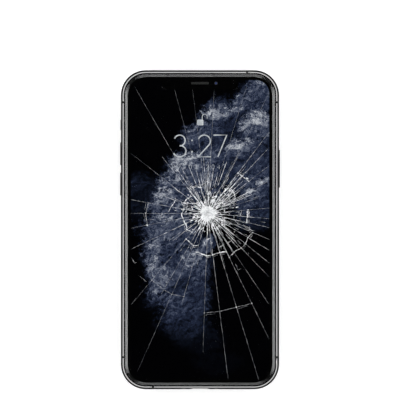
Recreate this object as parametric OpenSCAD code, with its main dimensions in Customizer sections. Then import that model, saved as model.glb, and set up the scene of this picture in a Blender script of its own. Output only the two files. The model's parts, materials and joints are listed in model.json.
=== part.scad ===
// Touch-screen phone with a shattered cover glass, lying on its back.
// Millimetres. X runs across the phone, +Y towards its earpiece, +Z out of the screen.
// The origin is under the middle of the phone, at the level of the rear lens rings it rests on.

/* [Body] */
// Width across the metal band, without the buttons
body_w = 71.4; // [68:0.1:88]
// Length from the bottom edge to the top edge
body_h = 144; // [138:0.1:176]
// Thickness over both glasses, without the camera bump
body_t = 8.1; // [7.9:0.1:10]
// Corner radius seen from the front
corner_r = 11.2; // [10:0.1:14.5]

/* [Band and chassis] */
// Thickness of the band's wall, outside to inside
wall_t = 2.6; // [2.4:0.05:3.2]
// Width of band seen from the front, outside the seal
lip_w = 1.35; // [1.1:0.05:1.7]
// Thickness of the chassis plate behind the battery
plate_t = 0.4; // [0.3:0.05:0.6]
// Width of each plastic antenna insert along the band
insert_w = 0.9; // [0.5:0.1:1.5]
// Distance of the side inserts from the phone's ends
insert_from_end = 14.5; // [12.5:0.1:20]
// Distance of the end inserts from the middle
insert_from_mid = 21.2; // [18:0.1:23]

/* [Glass] */
// Thickness of the front cover glass
front_glass_t = 0.9; // [0.7:0.05:1.1]
// Thickness of the back glass
back_glass_t = 1; // [0.8:0.05:1.2]
// Width of the rounded shoulder round each glass
shoulder_w = 1.4; // [1.1:0.05:1.7]
// Radius of the rounded shoulder
shoulder_r = 2; // [1.8:0.1:3]
// Width of the rubber seal round the cover glass
seal_w = 0.5; // [0.3:0.05:0.6]

/* [Fracture] */
// Impact point, across from the middle
impact_x = 3.5; // [-10:0.5:10]
// Impact point, up from the middle
impact_y = 7.4; // [-20:0.2:20]
// Gap between neighbouring shards
crack_w = 0.08; // [0.05:0.01:0.12]
// Radius of the crushed plug under the impact
plug_r = 3; // [2.5:0.1:3.6]
// Depth of the crater in the plug
crater_depth = 0.35; // [0.2:0.05:0.45]

/* [Display] */
// Width of the dark border between the band and the lit area
border_w = 4.5; // [4.1:0.1:6]
// Width of the notch for the front sensors
notch_w = 34.4; // [32:0.1:40]
// How far the notch reaches into the lit area
notch_depth = 4.3; // [4.1:0.1:6]
// Thickness of the display panel
panel_t = 0.8; // [0.6:0.05:1]
// Width of the earpiece slot
earpiece_w = 8.1; // [6:0.1:9]
// Height of the earpiece slot
earpiece_h = 1.1; // [0.9:0.1:1.4]
// Middle of the earpiece slot, from the top edge
earpiece_from_top = 5.9; // [5.8:0.1:6.2]
// Middle of the front camera, to the right of the middle
camera_eye_x = 7.2; // [6.9:0.1:9]

/* [Buttons] */
// How far the buttons stand out of the band
button_proud = 0.4; // [0.2:0.05:0.6]
// Height of a button's face, along the phone's thickness
button_t = 2.6; // [2:0.1:2.8]
// How far a button travels when pressed
button_travel = 0.25; // [0.15:0.05:0.3]
// Gap round everything that slides in the band
slide_gap = 0.1; // [0.06:0.01:0.15]
// Length of the power button
power_len = 17; // [12:0.5:20]
// Middle of the power button, from the top edge
power_from_top = 44.5; // [42:0.5:50]
// Length of each volume button
volume_len = 10.3; // [8:0.1:11]
// Middle of the upper volume button, from the top edge
volume_up_from_top = 37.7; // [36.5:0.1:40]
// Middle of the lower volume button, from the top edge
volume_down_from_top = 51.4; // [51:0.1:60]
// Length of the ring switch's paddle
switch_len = 4.8; // [4:0.1:5.4]
// Middle of the ring switch, from the top edge
switch_from_top = 24.7; // [23.5:0.1:25]
// How far the ring switch stands out of the band
switch_proud = 0.25; // [0.1:0.05:0.5]
// How far the ring switch slides, front to back
switch_travel = 1; // [0.6:0.1:1.1]

/* [Rear cameras] */
// Height of the lens rings above the back glass
bump_h = 1.2; // [0.9:0.1:2]
// Width of the camera bump
bump_w = 15; // [14:0.1:16]
// Distance between the two lenses
lens_pitch = 17; // [15:0.5:19]
// Middle of the lenses, from the side edge
lens_from_side = 11.7; // [11:0.1:13]
// Middle of the upper lens, from the top edge
lens_from_top = 13; // [12.5:0.1:15]
// Radius of a lens window
lens_r = 4.4; // [3.8:0.1:4.5]

/* [Card tray] */
// Length of the tray's face along the band
tray_face_w = 15; // [14:0.1:16]
// Height of the tray's face
tray_face_t = 2.1; // [1.8:0.1:2.4]
// How deep the tray reaches, from the band's outside
tray_depth = 18.2; // [17:0.1:18.6]
// Length of the card
card_w = 12.3; // [12.3:0.1:12.4]
// Width of the card
card_h = 8.8; // [8.8:0.1:8.9]

/* [Bottom edge] */
// Inside width of the charging socket
port_w = 8.34; // [8.3:0.01:8.5]
// Inside height of the charging socket
port_t = 2.56; // [2.5:0.01:2.7]
// Radius of the sound holes
sound_hole_r = 0.75; // [0.5:0.05:0.9]
// Number of sound holes in front of the loudspeaker
speaker_holes = 6; // [4:1:6]
// Number of sound holes in front of the microphone
microphone_holes = 4; // [2:1:4]
// Distance between neighbouring sound holes
sound_hole_pitch = 2.3; // [2:0.1:2.4]

/* [Inside] */
// Width of the main circuit board's long arm
board_w = 18.7; // [18.6:0.1:20]
// Thickness of the circuit boards
board_t = 0.8; // [0.6:0.1:1]
// Length of the battery's foot beside the loudspeaker
battery_foot = 20; // [16:0.5:26]
// Room left between neighbouring parts inside
part_gap = 0.9; // [0.6:0.1:1.2]
// Outer radius of the charging coil
coil_r = 23; // [18:0.5:23]

/* [Hidden] */
$fn = 48;

// Levels through the thickness, from the surface the phone lies on
z_back = bump_h;
z_front = z_back + body_t;
z_mid = z_back + body_t / 2;
z_plate = z_back + back_glass_t;
z_floor = z_plate + plate_t;
z_glass = z_front - front_glass_t;
adhesive_t = 0.1;
shield_t = 0.2;
z_panel = z_glass - adhesive_t - panel_t;
z_ceiling = z_panel - shield_t;
display_frame_t = 1;
z_ledge = z_glass - display_frame_t;

// The band's outside is half round, up to a narrow flat land beside the seal. Levels and
// insets found on that arc are kept to hundredths.
band_r = body_t / 2;
lip_land = 0.1;
function leg(hypotenuse, side) = round(100 * sqrt(pow(hypotenuse, 2) - pow(side, 2))) / 100;
z_lip = z_mid + leg(band_r, band_r - lip_w + lip_land);
side_x = body_w / 2;
end_y = body_h / 2;
cav_x = side_x - wall_t;
cav_y = end_y - wall_t;

// Cover glass and what is bonded behind it
glass_inset = lip_w + seal_w;
bond_gap = 0.12;
back_inset = band_r - leg(band_r, z_mid - z_plate) + bond_gap;
frame_ring_w = 1.45;
panel_inset = glass_inset + frame_ring_w + slide_gap;
// The seal stands above the band's lip and laps up the edge of the cover glass
seal_lap = 0.13;
seal_lip_rise = 0.2;
z_seal = max(z_glass + seal_lap, z_lip + seal_lip_rise);
notch_y = end_y - border_w - notch_depth;
sensor_y = end_y - earpiece_from_top;
sensor_half_h = 2.25;

// Rear cameras, seen on the right from the front
lens_x = side_x - lens_from_side;
lens_y1 = end_y - lens_from_top;
lens_y2 = lens_y1 - lens_pitch;
bump_y = (lens_y1 + lens_y2) / 2;
bump_len = lens_pitch + bump_w;
bump_face_drop = 0.3;
ring_t = 1;
glue_gap = 0.05;
window_drop = 0.2;
window_t = 0.6;
barrel_r = lens_r - 0.1;
camera_hole_r = lens_r + 0.2;
module_w = 10.4;
flash_r = 2;
led_w = 2.4;
mic_r = 0.4;
mic_offset = 4.5;

// Inner layout: the board's long arm stands on the right, its short arm runs across the top
z_board = z_floor + 0.7;
z_board_top = z_board + board_t;
board_x1 = cav_x - part_gap;
board_x0 = board_x1 - board_w;
arm_top = lens_y2 - module_w / 2 - part_gap;
strip_y1 = end_y - 11.5;
strip_y0 = end_y - 27;
neck_w = 4;
strip_x0 = -cav_x + 6.1;
bay_top = -end_y + 31;
battery_x0 = -cav_x + part_gap + 0.2;
battery_x1 = board_x0 - part_gap;
battery_y0 = bay_top + 3;
battery_y1 = strip_y0 - 3;
battery_foot_x1 = board_x1;
board_y0 = battery_y0 + battery_foot + part_gap;
strip_adhesive_t = 0.1;
z_battery = z_floor + strip_adhesive_t;
swell_gap = 0.4;
z_battery_top = z_ceiling - swell_gap;
coil_y = 2;
coil_window_r = coil_r + 1.5;
coil_wire_t = 0.3;
coil_band_w = 13;
screw_r = 0.55;
screw_head_r = 1.1;
screw_head_t = 0.5;
standoff_r = 1.4;
screw_spots = [
    [board_x1 - 2.4, board_y0 + 2.5],
    [board_x1 - 2.4, arm_top - 2.5],
    [board_x0 + neck_w / 2, (arm_top + strip_y0) / 2],
    [strip_x0 + 2.5, strip_y1 - 2.5],
    [strip_x0 + 2.5, strip_y0 + 2.5],
    [board_x0 - 2, strip_y1 - 2.5]
];

// Card tray, in the band at mid thickness
tray_y = board_y0 + 15;
tray_t = 0.9;
tray_half_w = card_w / 2 + 0.75;
tray_neck_w = tray_face_w - 0.7;
tray_neck_t = tray_face_t - 0.7;
tray_face_x = side_x - 1.5;
tray_x0 = side_x - tray_depth;
reader_x0 = tray_x0 - 0.8;
reader_top = z_mid + 1.05;
eject_hole_r = 0.45;

// Buttons: the face passes a slot, and a wider flange behind it moves in a pocket
flange_t = 0.65;
flange_grow = 0.6;
flange_rise = 0.4;
pocket_gap = 0.2;
flange_out_x = side_x - lip_w - slide_gap / 2;
pocket_x = side_x - lip_w;
dome_top_x = flange_out_x - flange_t - button_travel - 0.05;
bracket_t = 0.4;
power_y = end_y - power_from_top;
volume_up_y = end_y - volume_up_from_top;
volume_down_y = end_y - volume_down_from_top;
switch_y = end_y - switch_from_top;
paddle_t = 1.8;
z_switch = z_mid + switch_travel / 2;

// Bottom edge
shell_t = 0.3;
port_mouth_y = -end_y + 0.45;
port_depth = 7.6;
edge_screw_x = port_w / 2 + 3.1;
sound_x0 = edge_screw_x + 3.9;
speaker_row = sound_hole_pitch * (speaker_holes - 1);
microphone_row = sound_hole_pitch * (microphone_holes - 1);
z_port_bottom = z_mid - port_t / 2 - shell_t;
edge_screw_r = 0.6;
edge_screw_head_r = 1;

// ---------- shapes used throughout ----------

// Slot outline with round ends, w long and h high
module stadium(w, h) {
    square([w - h, h], center = true);
    for (x = [-1, 1]) translate([x * (w - h) / 2, 0]) circle(h / 2);
}

// Rectangle w by h with true arcs of radius r at its corners
module rounded(w, h, r)
    if (h - 2 * r < 0.01) {
        stadium(w, h);
    } else {
        square([w - 2 * r, h], center = true);
        square([w, h - 2 * r], center = true);
        for (x = [-1, 1], y = [-1, 1])
            translate([x * (w / 2 - r), y * (h / 2 - r)]) circle(r);
    }

// Flat slab between two levels
module slab(z0, z1) translate([0, 0, z0]) linear_extrude(z1 - z0) children();

// Box given by its corners
module block(p0, p1) translate(p0) cube(p1 - p0);

// Box with rounded upright edges, given by its corners
module pad(p0, p1, r = 0.8)
    translate([(p0.x + p1.x) / 2, (p0.y + p1.y) / 2, 0])
        slab(p0.z, p1.z) rounded(p1.x - p0.x, p1.y - p0.y, r);

// The phone's outline, moved in from the outside by inset
module outline(inset) rounded(body_w - 2 * inset, body_h - 2 * inset, corner_r - inset);

// Carries a section round the outline moved in by inset. The section is drawn with
// x as the distance inwards and y as the level.
module around(inset) {
    w = body_w - 2 * inset;
    h = body_h - 2 * inset;
    r = corner_r - inset;
    for (side = [0, 180]) rotate(side) {
        translate([w / 2 - r, h / 2 - r, 0]) rotate([90, 0, 0])
            linear_extrude(h - 2 * r) translate([r, 0]) mirror([1, 0]) children();
        translate([-w / 2 + r, h / 2 - r, 0]) rotate([90, 0, 90])
            linear_extrude(w - 2 * r) translate([r, 0]) mirror([1, 0]) children();
        translate([w / 2 - r, h / 2 - r, 0])
            rotate_extrude(angle = 90) translate([r, 0]) mirror([1, 0]) children();
        translate([-w / 2 + r, h / 2 - r, 0]) rotate(90)
            rotate_extrude(angle = 90) translate([r, 0]) mirror([1, 0]) children();
    }
}

// Keeps what lies inside the band's wall, with a gap to it
module inside(gap = 0) intersection() {
    children();
    slab(z_plate, z_front) outline(wall_t + gap);
}

// Prism along X, from x0 to x1, of a shape drawn with x along Y and y along Z about z
module across(x0, x1, y, z)
    translate([x0, y, z]) rotate([90, 0, 90]) linear_extrude(x1 - x0) children();

// Prism along Y, from y0 to y1, of a shape drawn with x along X and y along Z about z
module along(y0, y1, x, z)
    translate([x, y1, z]) rotate([90, 0, 0]) linear_extrude(y1 - y0) children();

// ---------- cover glass and its cracks ----------

// Direction in degrees and reach in millimetres of each crack that runs out from the impact
RAYS = [
    [5, 40], [17, 24], [28, 40], [38, 40], [47, 60], [53, 60], [63, 70], [73, 60],
    [87, 60], [97, 60], [105, 60], [120, 66], [129, 33], [142, 60], [156, 18], [170, 40],
    [180, 40], [191, 40], [205, 45], [218, 20], [230, 60], [240, 42], [246, 78],
    [254, 42], [268, 63], [277, 80], [287, 80], [296, 70], [304, 60], [314, 45],
    [321, 40], [329, 40], [337, 40], [347, 40], [355, 40]
];
ray_count = len(RAYS);

// Radius, first ray and last ray of each crack that runs across the others
ARCS = [
    [8, 3, 7], [8, 27, 33], [13.5, 9, 12], [11.4, 13, 20], [15.5, 20, 23], [14.5, 2, 5],
    [18.8, 23, 27], [21.6, 27, 32], [18.2, 33, 35], [27.7, 15, 17], [23, 3, 5],
    [39.6, 20, 23], [44.6, 24, 27]
];

function ray_angle(i) = RAYS[i % ray_count][0] + 360 * floor(i / ray_count);
// Uneven steps, so that no crack across is a true circle
function unevenness(i) = 0.55 * sin(137 * (i % ray_count));
function ray_point(i, r) =
    [impact_x, impact_y] + (r + unevenness(i)) * [cos(ray_angle(i)), sin(ray_angle(i))];
// Distance from the impact to the edge of the lit area in direction a
function to_border(a) = min(
    abs(((cos(a) > 0 ? 1 : -1) * (side_x - border_w) - impact_x) / cos(a)),
    abs(((sin(a) > 0 ? 1 : -1) * (end_y - border_w) - impact_y) / sin(a)));
// A ray that points at the notch ends where the notch begins
function to_notch(a) =
    sin(a) > 0 && abs(impact_x + (notch_y - impact_y) / tan(a)) < notch_w / 2
        ? (notch_y - impact_y) / sin(a) : body_h;
function ray_reach(i) =
    let (a = ray_angle(i)) min(RAYS[i % ray_count][1], to_border(a), to_notch(a));
function arc_points(r, i0, i1) = [for (i = [i0:i1]) ray_point(i, r)];
function reversed(list) = [for (i = [len(list) - 1:-1:0]) list[i]];

module crack_cuts() slab(z_glass - 1, z_front + 1) {
    for (i = [0:ray_count - 1])
        translate([impact_x, impact_y]) rotate(ray_angle(i))
            translate([plug_r, -crack_w / 2]) square([ray_reach(i) - plug_r, crack_w]);
    for (arc = ARCS)
        polygon(concat(
            arc_points(arc[0] + crack_w / 2, arc[1], arc[2]),
            reversed(arc_points(arc[0] - crack_w / 2, arc[1], arc[2]))));
    difference() {
        polygon(arc_points(plug_r + crack_w, 0, ray_count - 1));
        polygon(arc_points(plug_r, 0, ray_count - 1));
    }
}

// Half of a glass's rounded rim: inner face at y 0, outer face at y t
module shoulder_section(t) intersection() {
    square([shoulder_w, t]);
    translate([shoulder_w, t - shoulder_r]) circle(shoulder_r);
}

// Whole plate of glass, before anything is cut in it
module front_blank() {
    around(glass_inset) translate([0, z_glass]) shoulder_section(front_glass_t);
    slab(z_glass, z_front) outline(glass_inset + shoulder_w);
}

// Shards of cover glass that still stand where they broke
module cover_glass() color([0.75, 0.82, 0.85, 0.4])
    difference() {
        front_blank();
        crack_cuts();
        crater_r = plug_r - 0.9;
        ball_r = (pow(crater_r, 2) + pow(crater_depth, 2)) / (2 * crater_depth);
        translate([impact_x, impact_y, z_front - crater_depth + ball_r]) sphere(ball_r);
        translate([0, sensor_y, 0])
            slab(z_glass - 1, z_front + 1) stadium(earpiece_w, earpiece_h);
    }

// Shape shared by the display and the clear adhesive that holds the shards to it
module panel_outline() difference() {
    outline(panel_inset);
    translate([-notch_w / 2, notch_y]) square([notch_w, end_y]);
}

module optical_adhesive() color([0.9, 0.95, 1, 0.3])
    slab(z_glass - adhesive_t, z_glass) panel_outline();

module display_panel() color("#0b0d16")
    slab(z_panel, z_panel + panel_t) panel_outline();

// Plastic ring bonded under the rim of the glass; it drops into the band's ledge
module display_frame() color("#2a2a2c")
    around(glass_inset) translate([0, z_ledge]) square([frame_ring_w, display_frame_t]);

module display_shield() color("#8d9094")
    difference() {
        pad([-cav_x + 1.6, -cav_y + 2.4, z_ceiling], [cav_x - 1.6, notch_y - 2.3, z_panel], 5);
        pad([-14, -22, z_ceiling - 1], [10, 22, z_panel + 1], 2);
    }

// Thin rubber ring between the band's lip and the glass
module display_seal() color("#0c0c0d")
    around(lip_w) translate([0, z_ledge]) square([seal_w, z_seal - z_ledge]);

// Flat cable from the display down to the board
module display_flex() color("#b4762c") {
    flex_w = 7;
    flex_t = 0.12;
    bend_y = arm_top - 24;
    start_y = bend_y - 14;
    plug_y = bend_y + 6;
    z_low = z_board_top + 0.85;
    along_y = [
        [start_y, z_ceiling - flex_t], [bend_y, z_ceiling - flex_t],
        [bend_y + 1.6, z_low], [plug_y, z_low], [plug_y, z_low + flex_t],
        [bend_y + 1.75, z_low + flex_t], [bend_y + 0.15, z_ceiling], [start_y, z_ceiling]
    ];
    translate([board_x0 + 5, 0, 0]) rotate([90, 0, 90]) linear_extrude(flex_w) polygon(along_y);
}

// ---------- earpiece and front sensors, in the notch ----------

module earpiece_mesh() color("#3b3c3e")
    translate([0, sensor_y, 0])
        slab(z_glass + 0.15, z_glass + 0.27) stadium(earpiece_w - 0.1, earpiece_h - 0.1);

module earpiece_speaker() color("#1b1b1d") {
    half_w = earpiece_w / 2 + 1.1;
    block([-half_w, sensor_y - sensor_half_h, z_ceiling - 2.4],
          [half_w, sensor_y + sensor_half_h, z_glass - 0.1]);
    translate([0, sensor_y, 0])
        slab(z_glass - 0.2, z_glass + 0.15) stadium(earpiece_w - 0.3, earpiece_h - 0.3);
}

// A small sensor in the notch: a can from x0 to x1 with a round eye at eye_x
module sensor_can(x0, x1, eye_x, eye_r) {
    block([x0, sensor_y - sensor_half_h, z_ceiling - 1.8],
          [x1, sensor_y + sensor_half_h, z_glass - 0.8]);
    translate([eye_x, sensor_y, 0]) slab(z_glass - 0.9, z_glass - 0.05) circle(eye_r);
}

// Spacing of the sensors along the notch
can_x = earpiece_w / 2 + 1.3;
module front_camera() color("#15161a") sensor_can(can_x, can_x + 5.2, camera_eye_x, 1.5);
module dot_projector() color("#4a4440") sensor_can(can_x + 5.4, can_x + 10.6, can_x + 8, 1.3);
module proximity_sensor() color("#2c2431") sensor_can(-can_x - 5.2, -can_x, -can_x - 2.6, 0.9);
module infrared_camera() color("#15161a")
    sensor_can(-can_x - 10.6, -can_x - 5.4, -can_x - 8, 1.6);

module sensor_bracket() color("#a9acb0")
    difference() {
        block([-can_x - 10.6, sensor_y - sensor_half_h, z_ceiling - 2.1],
              [can_x + 10.6, sensor_y + sensor_half_h, z_ceiling - 1.8]);
        block([-can_x + 0.1, sensor_y - sensor_half_h - 1, z_ceiling - 3],
              [can_x - 0.1, sensor_y + sensor_half_h + 1, z_ceiling]);
        for (x = [-1, 1])
            translate([x * (can_x + 5.3), sensor_y, z_ceiling - 3]) cylinder(r = 0.6, h = 2);
    }

// ---------- metal band with its chassis plate ----------

// Half-round section of the band, with the step that carries the display
module band_section() difference() {
    intersection() {
        translate([band_r, z_mid]) circle(band_r);
        translate([0, z_plate]) square([wall_t, z_lip - z_plate]);
    }
    translate([lip_w, z_ledge]) square([wall_t, body_t]);
}

// Where the six antenna gaps are: place and turn of each
module at_inserts() {
    for (turn = [0, 180], y = [-1, 1])
        rotate(turn) translate([side_x, y * (end_y - insert_from_end), 0]) children();
    for (turn = [90, 270])
        rotate(turn) translate([end_y, -insert_from_mid, 0]) children();
}

// Piece of band, straight and insert_w long, with its outside at x 0
module insert_piece()
    translate([0, insert_w / 2, 0]) rotate([90, 0, 0])
        linear_extrude(insert_w) mirror([1, 0]) band_section();

module antenna_inserts() color("#1d1e20") at_inserts() insert_piece();

// Slot and inner pocket in the right-hand wall for a button len long. A button that slides
// front to back by travel_z needs both to be that much higher.
module button_cut(y, len, face_t = button_t, travel_z = 0) {
    slot_r = face_t / 2 + slide_gap;
    across(pocket_x - 1, side_x + 1, y, z_mid)
        rounded(len + 2 * slide_gap, 2 * slot_r + travel_z, slot_r);
    pocket_r = face_t / 2 + flange_rise + pocket_gap;
    across(cav_x - 1, pocket_x, y, z_mid)
        rounded(len + 2 * (flange_grow + pocket_gap), 2 * pocket_r + travel_z, pocket_r);
}

module sound_hole_row(count) for (i = [0:count - 1])
    translate([sound_x0 + i * sound_hole_pitch, 0, z_mid]) rotate([-90, 0, 0])
        translate([0, 0, -end_y - 1]) cylinder(r = sound_hole_r, h = wall_t + 2);

module main_frame() color("#6d6e70")
    difference() {
        union() {
            around(0) band_section();
            difference() {
                slab(z_plate, z_floor) outline(wall_t - 0.3);
                translate([0, coil_y, z_plate - 1]) cylinder(r = coil_window_r, h = plate_t + 2);
            }
            for (p = screw_spots) translate([p.x, p.y, z_floor - 0.1])
                cylinder(r = standoff_r, h = z_board - z_floor + 0.1);
        }
        at_inserts() translate([-wall_t, -insert_w / 2, z_plate - 1])
            cube([wall_t + 1, insert_w, body_t + 1]);
        button_cut(power_y, power_len);
        mirror([1, 0, 0]) {
            button_cut(volume_up_y, volume_len);
            button_cut(volume_down_y, volume_len);
            button_cut(switch_y, switch_len, paddle_t, switch_travel);
        }
        across(cav_x - 1, side_x + 1, tray_y, z_mid)
            stadium(tray_face_w + 2 * slide_gap, tray_face_t + 2 * slide_gap);
        along(-end_y - 1, -cav_y + 1, 0, z_mid)
            stadium(port_w + 2 * shell_t + 0.1, port_t + 2 * shell_t + 0.1);
        sound_hole_row(speaker_holes);
        mirror([1, 0, 0]) sound_hole_row(microphone_holes);
        for (x = [-1, 1]) translate([x * edge_screw_x, -end_y, z_mid]) rotate([-90, 0, 0]) {
            translate([0, 0, -1]) cylinder(r = edge_screw_head_r + 0.1, h = 2.2);
            cylinder(r = edge_screw_r + 0.05, h = wall_t + 1);
        }
        for (y = [lens_y1, lens_y2]) translate([lens_x, y, z_plate - 1])
            cylinder(r = camera_hole_r, h = 3);
        translate([lens_x, bump_y, z_plate - 1]) cylinder(r = flash_r - 0.2, h = 3);
        translate([lens_x + mic_offset, bump_y, z_plate - 1]) cylinder(r = mic_r, h = 3);
        for (p = screw_spots) translate([p.x, p.y, z_floor - 0.05])
            cylinder(r = screw_r + 0.05, h = 2);
    }

// ---------- back glass, camera bump and lenses ----------

// Pill shape of the camera bump, grown by gap
module bump_outline(gap = 0)
    translate([lens_x, bump_y]) rotate(90) stadium(bump_len + 2 * gap, bump_w + 2 * gap);

module back_glass() color("#3f4143")
    difference() {
        union() {
            translate([0, 0, z_plate]) mirror([0, 0, 1])
                around(back_inset) shoulder_section(back_glass_t);
            slab(z_back, z_plate) outline(back_inset + shoulder_w);
        }
        slab(z_back - 1, z_plate + 1) bump_outline(glue_gap);
    }

// Pill-shaped plate that carries both lens rings and the flash, bonded to the chassis plate
module camera_bump() color("#37393b")
    difference() {
        slab(bump_face_drop, z_plate) bump_outline();
        for (y = [lens_y1, lens_y2]) translate([lens_x, y, -1])
            cylinder(r = lens_r + ring_t + glue_gap, h = z_plate + 2);
        translate([lens_x, bump_y, -1]) cylinder(r = flash_r + glue_gap, h = z_plate + 2);
        translate([lens_x + mic_offset, bump_y, -1]) cylinder(r = mic_r, h = z_plate + 2);
    }

module lens_rings() color("#5c5e61")
    for (y = [lens_y1, lens_y2]) translate([lens_x, y, 0]) difference() {
        cylinder(r = lens_r + ring_t, h = z_plate);
        translate([0, 0, -1]) cylinder(r = lens_r + glue_gap, h = z_plate + 2);
    }

module lens_windows() color([0.15, 0.17, 0.22, 0.6])
    for (y = [lens_y1, lens_y2])
        translate([lens_x, y, window_drop]) cylinder(r = lens_r, h = window_t);

// Camera module with its barrel of radius r reaching down to the lens window
module rear_camera(y, r) translate([lens_x, y, 0]) {
    slab(window_drop + window_t + 0.1, z_floor + 0.4) circle(r);
    pad([-module_w / 2, -module_w / 2, z_floor], [module_w / 2, module_w / 2, z_ceiling - 0.2], 1);
}

module wide_camera() color("#101114") rear_camera(lens_y1, barrel_r);
module tele_camera() color("#17181c") rear_camera(lens_y2, barrel_r - 0.3);

module flash_window() color("#f1ead2")
    translate([lens_x, bump_y, 0]) slab(bump_face_drop, z_plate) circle(flash_r);

// The light stands in a hole in the chassis plate, on a base bonded over that hole
module flash_led() color("#e8d36a")
    translate([lens_x, bump_y]) {
        slab(z_plate + glue_gap, z_floor) square(led_w, center = true);
        slab(z_floor, z_floor + 0.3) square(led_w + 1.6, center = true);
    }

module rear_microphone() color("#c9b46a")
    translate([lens_x + mic_offset, bump_y]) slab(z_floor, z_floor + 1) square([2, 2.6], center = true);

// ---------- battery and charging coil ----------

fold_len = 3;
fold_drop = 1.2;
module battery() color("#1c1c1e")
    difference() {
        union() {
            pad([battery_x0, battery_y0, z_battery], [battery_x1, battery_y1, z_battery_top], 1.6);
            pad([battery_x0, battery_y0, z_battery],
                [battery_foot_x1, battery_y0 + battery_foot, z_battery_top], 1.6);
        }
        // The folded edge of the pouch is thinner than the cell
        block([battery_x0 - 1, battery_y1 - fold_len, z_battery_top - fold_drop],
              [battery_x1 + 1, battery_y1 + 1, z_battery_top + 1]);
    }

// Pull-tab adhesive under the battery
module battery_strips() color("#f2f2ee")
    for (x = [battery_x0 + 3, battery_x1 - 9])
        block([x, battery_y0 + 2, z_floor], [x + 6, battery_y0 + 13, z_battery]);

module battery_flex() color("#b4762c") {
    x0 = battery_x1 - 9;
    flex_t = 0.15;
    z_top = z_battery_top - fold_drop;
    block([x0, battery_y1 - fold_len, z_top], [x0 + 6, strip_y0 + 3.4, z_top + flex_t]);
    block([x0, strip_y0 + 0.4, z_board_top + 0.8], [x0 + 6, strip_y0 + 3.4, z_top + 0.05]);
}

module charging_coil() color("#b0622c")
    translate([0, coil_y, z_plate]) difference() {
        cylinder(r = coil_r, h = coil_wire_t);
        translate([0, 0, -1]) cylinder(r = coil_r - coil_band_w, h = 3);
    }

module coil_shield() color("#4c4f52")
    translate([0, coil_y, z_plate + coil_wire_t]) cylinder(r = coil_r + 1, h = plate_t - coil_wire_t);

// ---------- circuit board ----------

module board_outline() {
    translate([board_x0, board_y0]) square([board_w, arm_top - board_y0]);
    translate([board_x0, board_y0]) square([neck_w, strip_y1 - board_y0]);
    translate([strip_x0, strip_y0])
        square([board_x0 + neck_w - strip_x0, strip_y1 - strip_y0]);
}

module logic_board() color("#1f4030")
    difference() {
        slab(z_board, z_board_top) board_outline();
        for (p = screw_spots) translate([p.x, p.y, z_board - 1])
            cylinder(r = screw_r + 0.1, h = board_t + 2);
    }

// Shield can: a folded cover, open underneath
module can(p0, p1) {
    can_h = 1.8;
    sheet_t = 0.2;
    difference() {
        pad([p0.x, p0.y, z_board_top], [p1.x, p1.y, z_board_top + can_h], 0.8);
        block([p0.x + sheet_t, p0.y + sheet_t, z_board_top - 1],
              [p1.x - sheet_t, p1.y - sheet_t, z_board_top + can_h - sheet_t]);
    }
}

module processor_shield() color("#a4a7ab")
    can([board_x0 + 1.2, arm_top - 15.8], [board_x1 - 1.2, arm_top - 4.4]);

module radio_shield() color("#a4a7ab")
    can([strip_x0 + 5.5, strip_y0 + 4.2], [board_x0 - 10.6, strip_y1 - 1]);

// Where the plugs sit: the battery's and the display's, seen from the front
connector_spots = [
    [battery_x1 - 8.6, strip_y0 + 0.8], [board_x0 + 5.4, arm_top - 21.4]
];
module board_connectors() color("#d8c48a")
    for (p = connector_spots)
        block([p.x, p.y, z_board_top], [p.x + 5.2, p.y + 2.2, z_board_top + 0.8]);

module connector_cover() color("#b4b6b9") {
    p = connector_spots[1];
    z = z_board_top + 1.1;
    block([p.x - 1.6, p.y - 0.4, z], [p.x + 8.4, p.y + 4.2, z + 0.2]);
    block([p.x - 1.6, p.y - 0.4, z_board_top], [p.x - 1.3, p.y + 4.2, z + 0.1]);
    block([p.x + 8.1, p.y - 0.4, z_board_top], [p.x + 8.4, p.y + 4.2, z + 0.1]);
}

// Pan-head screw standing head up at z, with a cross recess
module screw(r, head_r, head_t, len) difference() {
    union() {
        cylinder(r = head_r, h = head_t);
        translate([0, 0, -len]) cylinder(r = r, h = len + 0.1);
    }
    for (a = [0, 90]) rotate(a)
        translate([-head_r * 0.6, -0.13, head_t * 0.4]) cube([head_r * 1.2, 0.26, head_t]);
}

module board_screws() color("#c9cbce")
    for (p = screw_spots) translate([p.x, p.y, z_board_top])
        screw(screw_r, screw_head_r, screw_head_t, board_t + 0.5);

// ---------- bottom edge: socket, sound and vibration ----------

module charge_port() color("#8b8e91")
    difference() {
        along(port_mouth_y, port_mouth_y + port_depth, 0, z_mid)
            stadium(port_w + 2 * shell_t, port_t + 2 * shell_t);
        along(port_mouth_y - 1, port_mouth_y + port_depth - shell_t, 0, z_mid)
            stadium(port_w, port_t);
    }

module port_tongue() color("#17181a") {
    half_w = port_w / 2 - 0.87;
    half_t = 0.35;
    block([-half_w, port_mouth_y + 1.2, z_mid - half_t],
          [half_w, port_mouth_y + port_depth - shell_t, z_mid + half_t]);
}

module port_board() color("#1f4030")
    inside(0.8) block([-cav_x + 1.5, -cav_y + 3.2, z_port_bottom - 0.5],
                      [5, bay_top - 12, z_port_bottom]);

module loudspeaker() color("#202123")
    difference() {
        inside(1) pad([8, -cav_y, z_floor], [cav_x, bay_top, z_ceiling - 0.3], 1.5);
        // Mouth that faces the sound holes
        along(-cav_y, -cav_y + 6, sound_x0 + speaker_row / 2, z_mid)
            square([speaker_row + 2 * sound_hole_r, 2 * sound_hole_r], center = true);
    }

module vibration_motor() color("#9b9da0")
    pad([-cav_x + 1.5, bay_top - 11, z_floor], [5, bay_top - 1, z_ceiling - 0.6], 1);

module bottom_microphone() color("#c9b46a")
    translate([-sound_x0 - microphone_row / 2, -cav_y + 5.5])
        slab(z_port_bottom, z_port_bottom + 1) square([3.5, 2.6], center = true);

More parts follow.
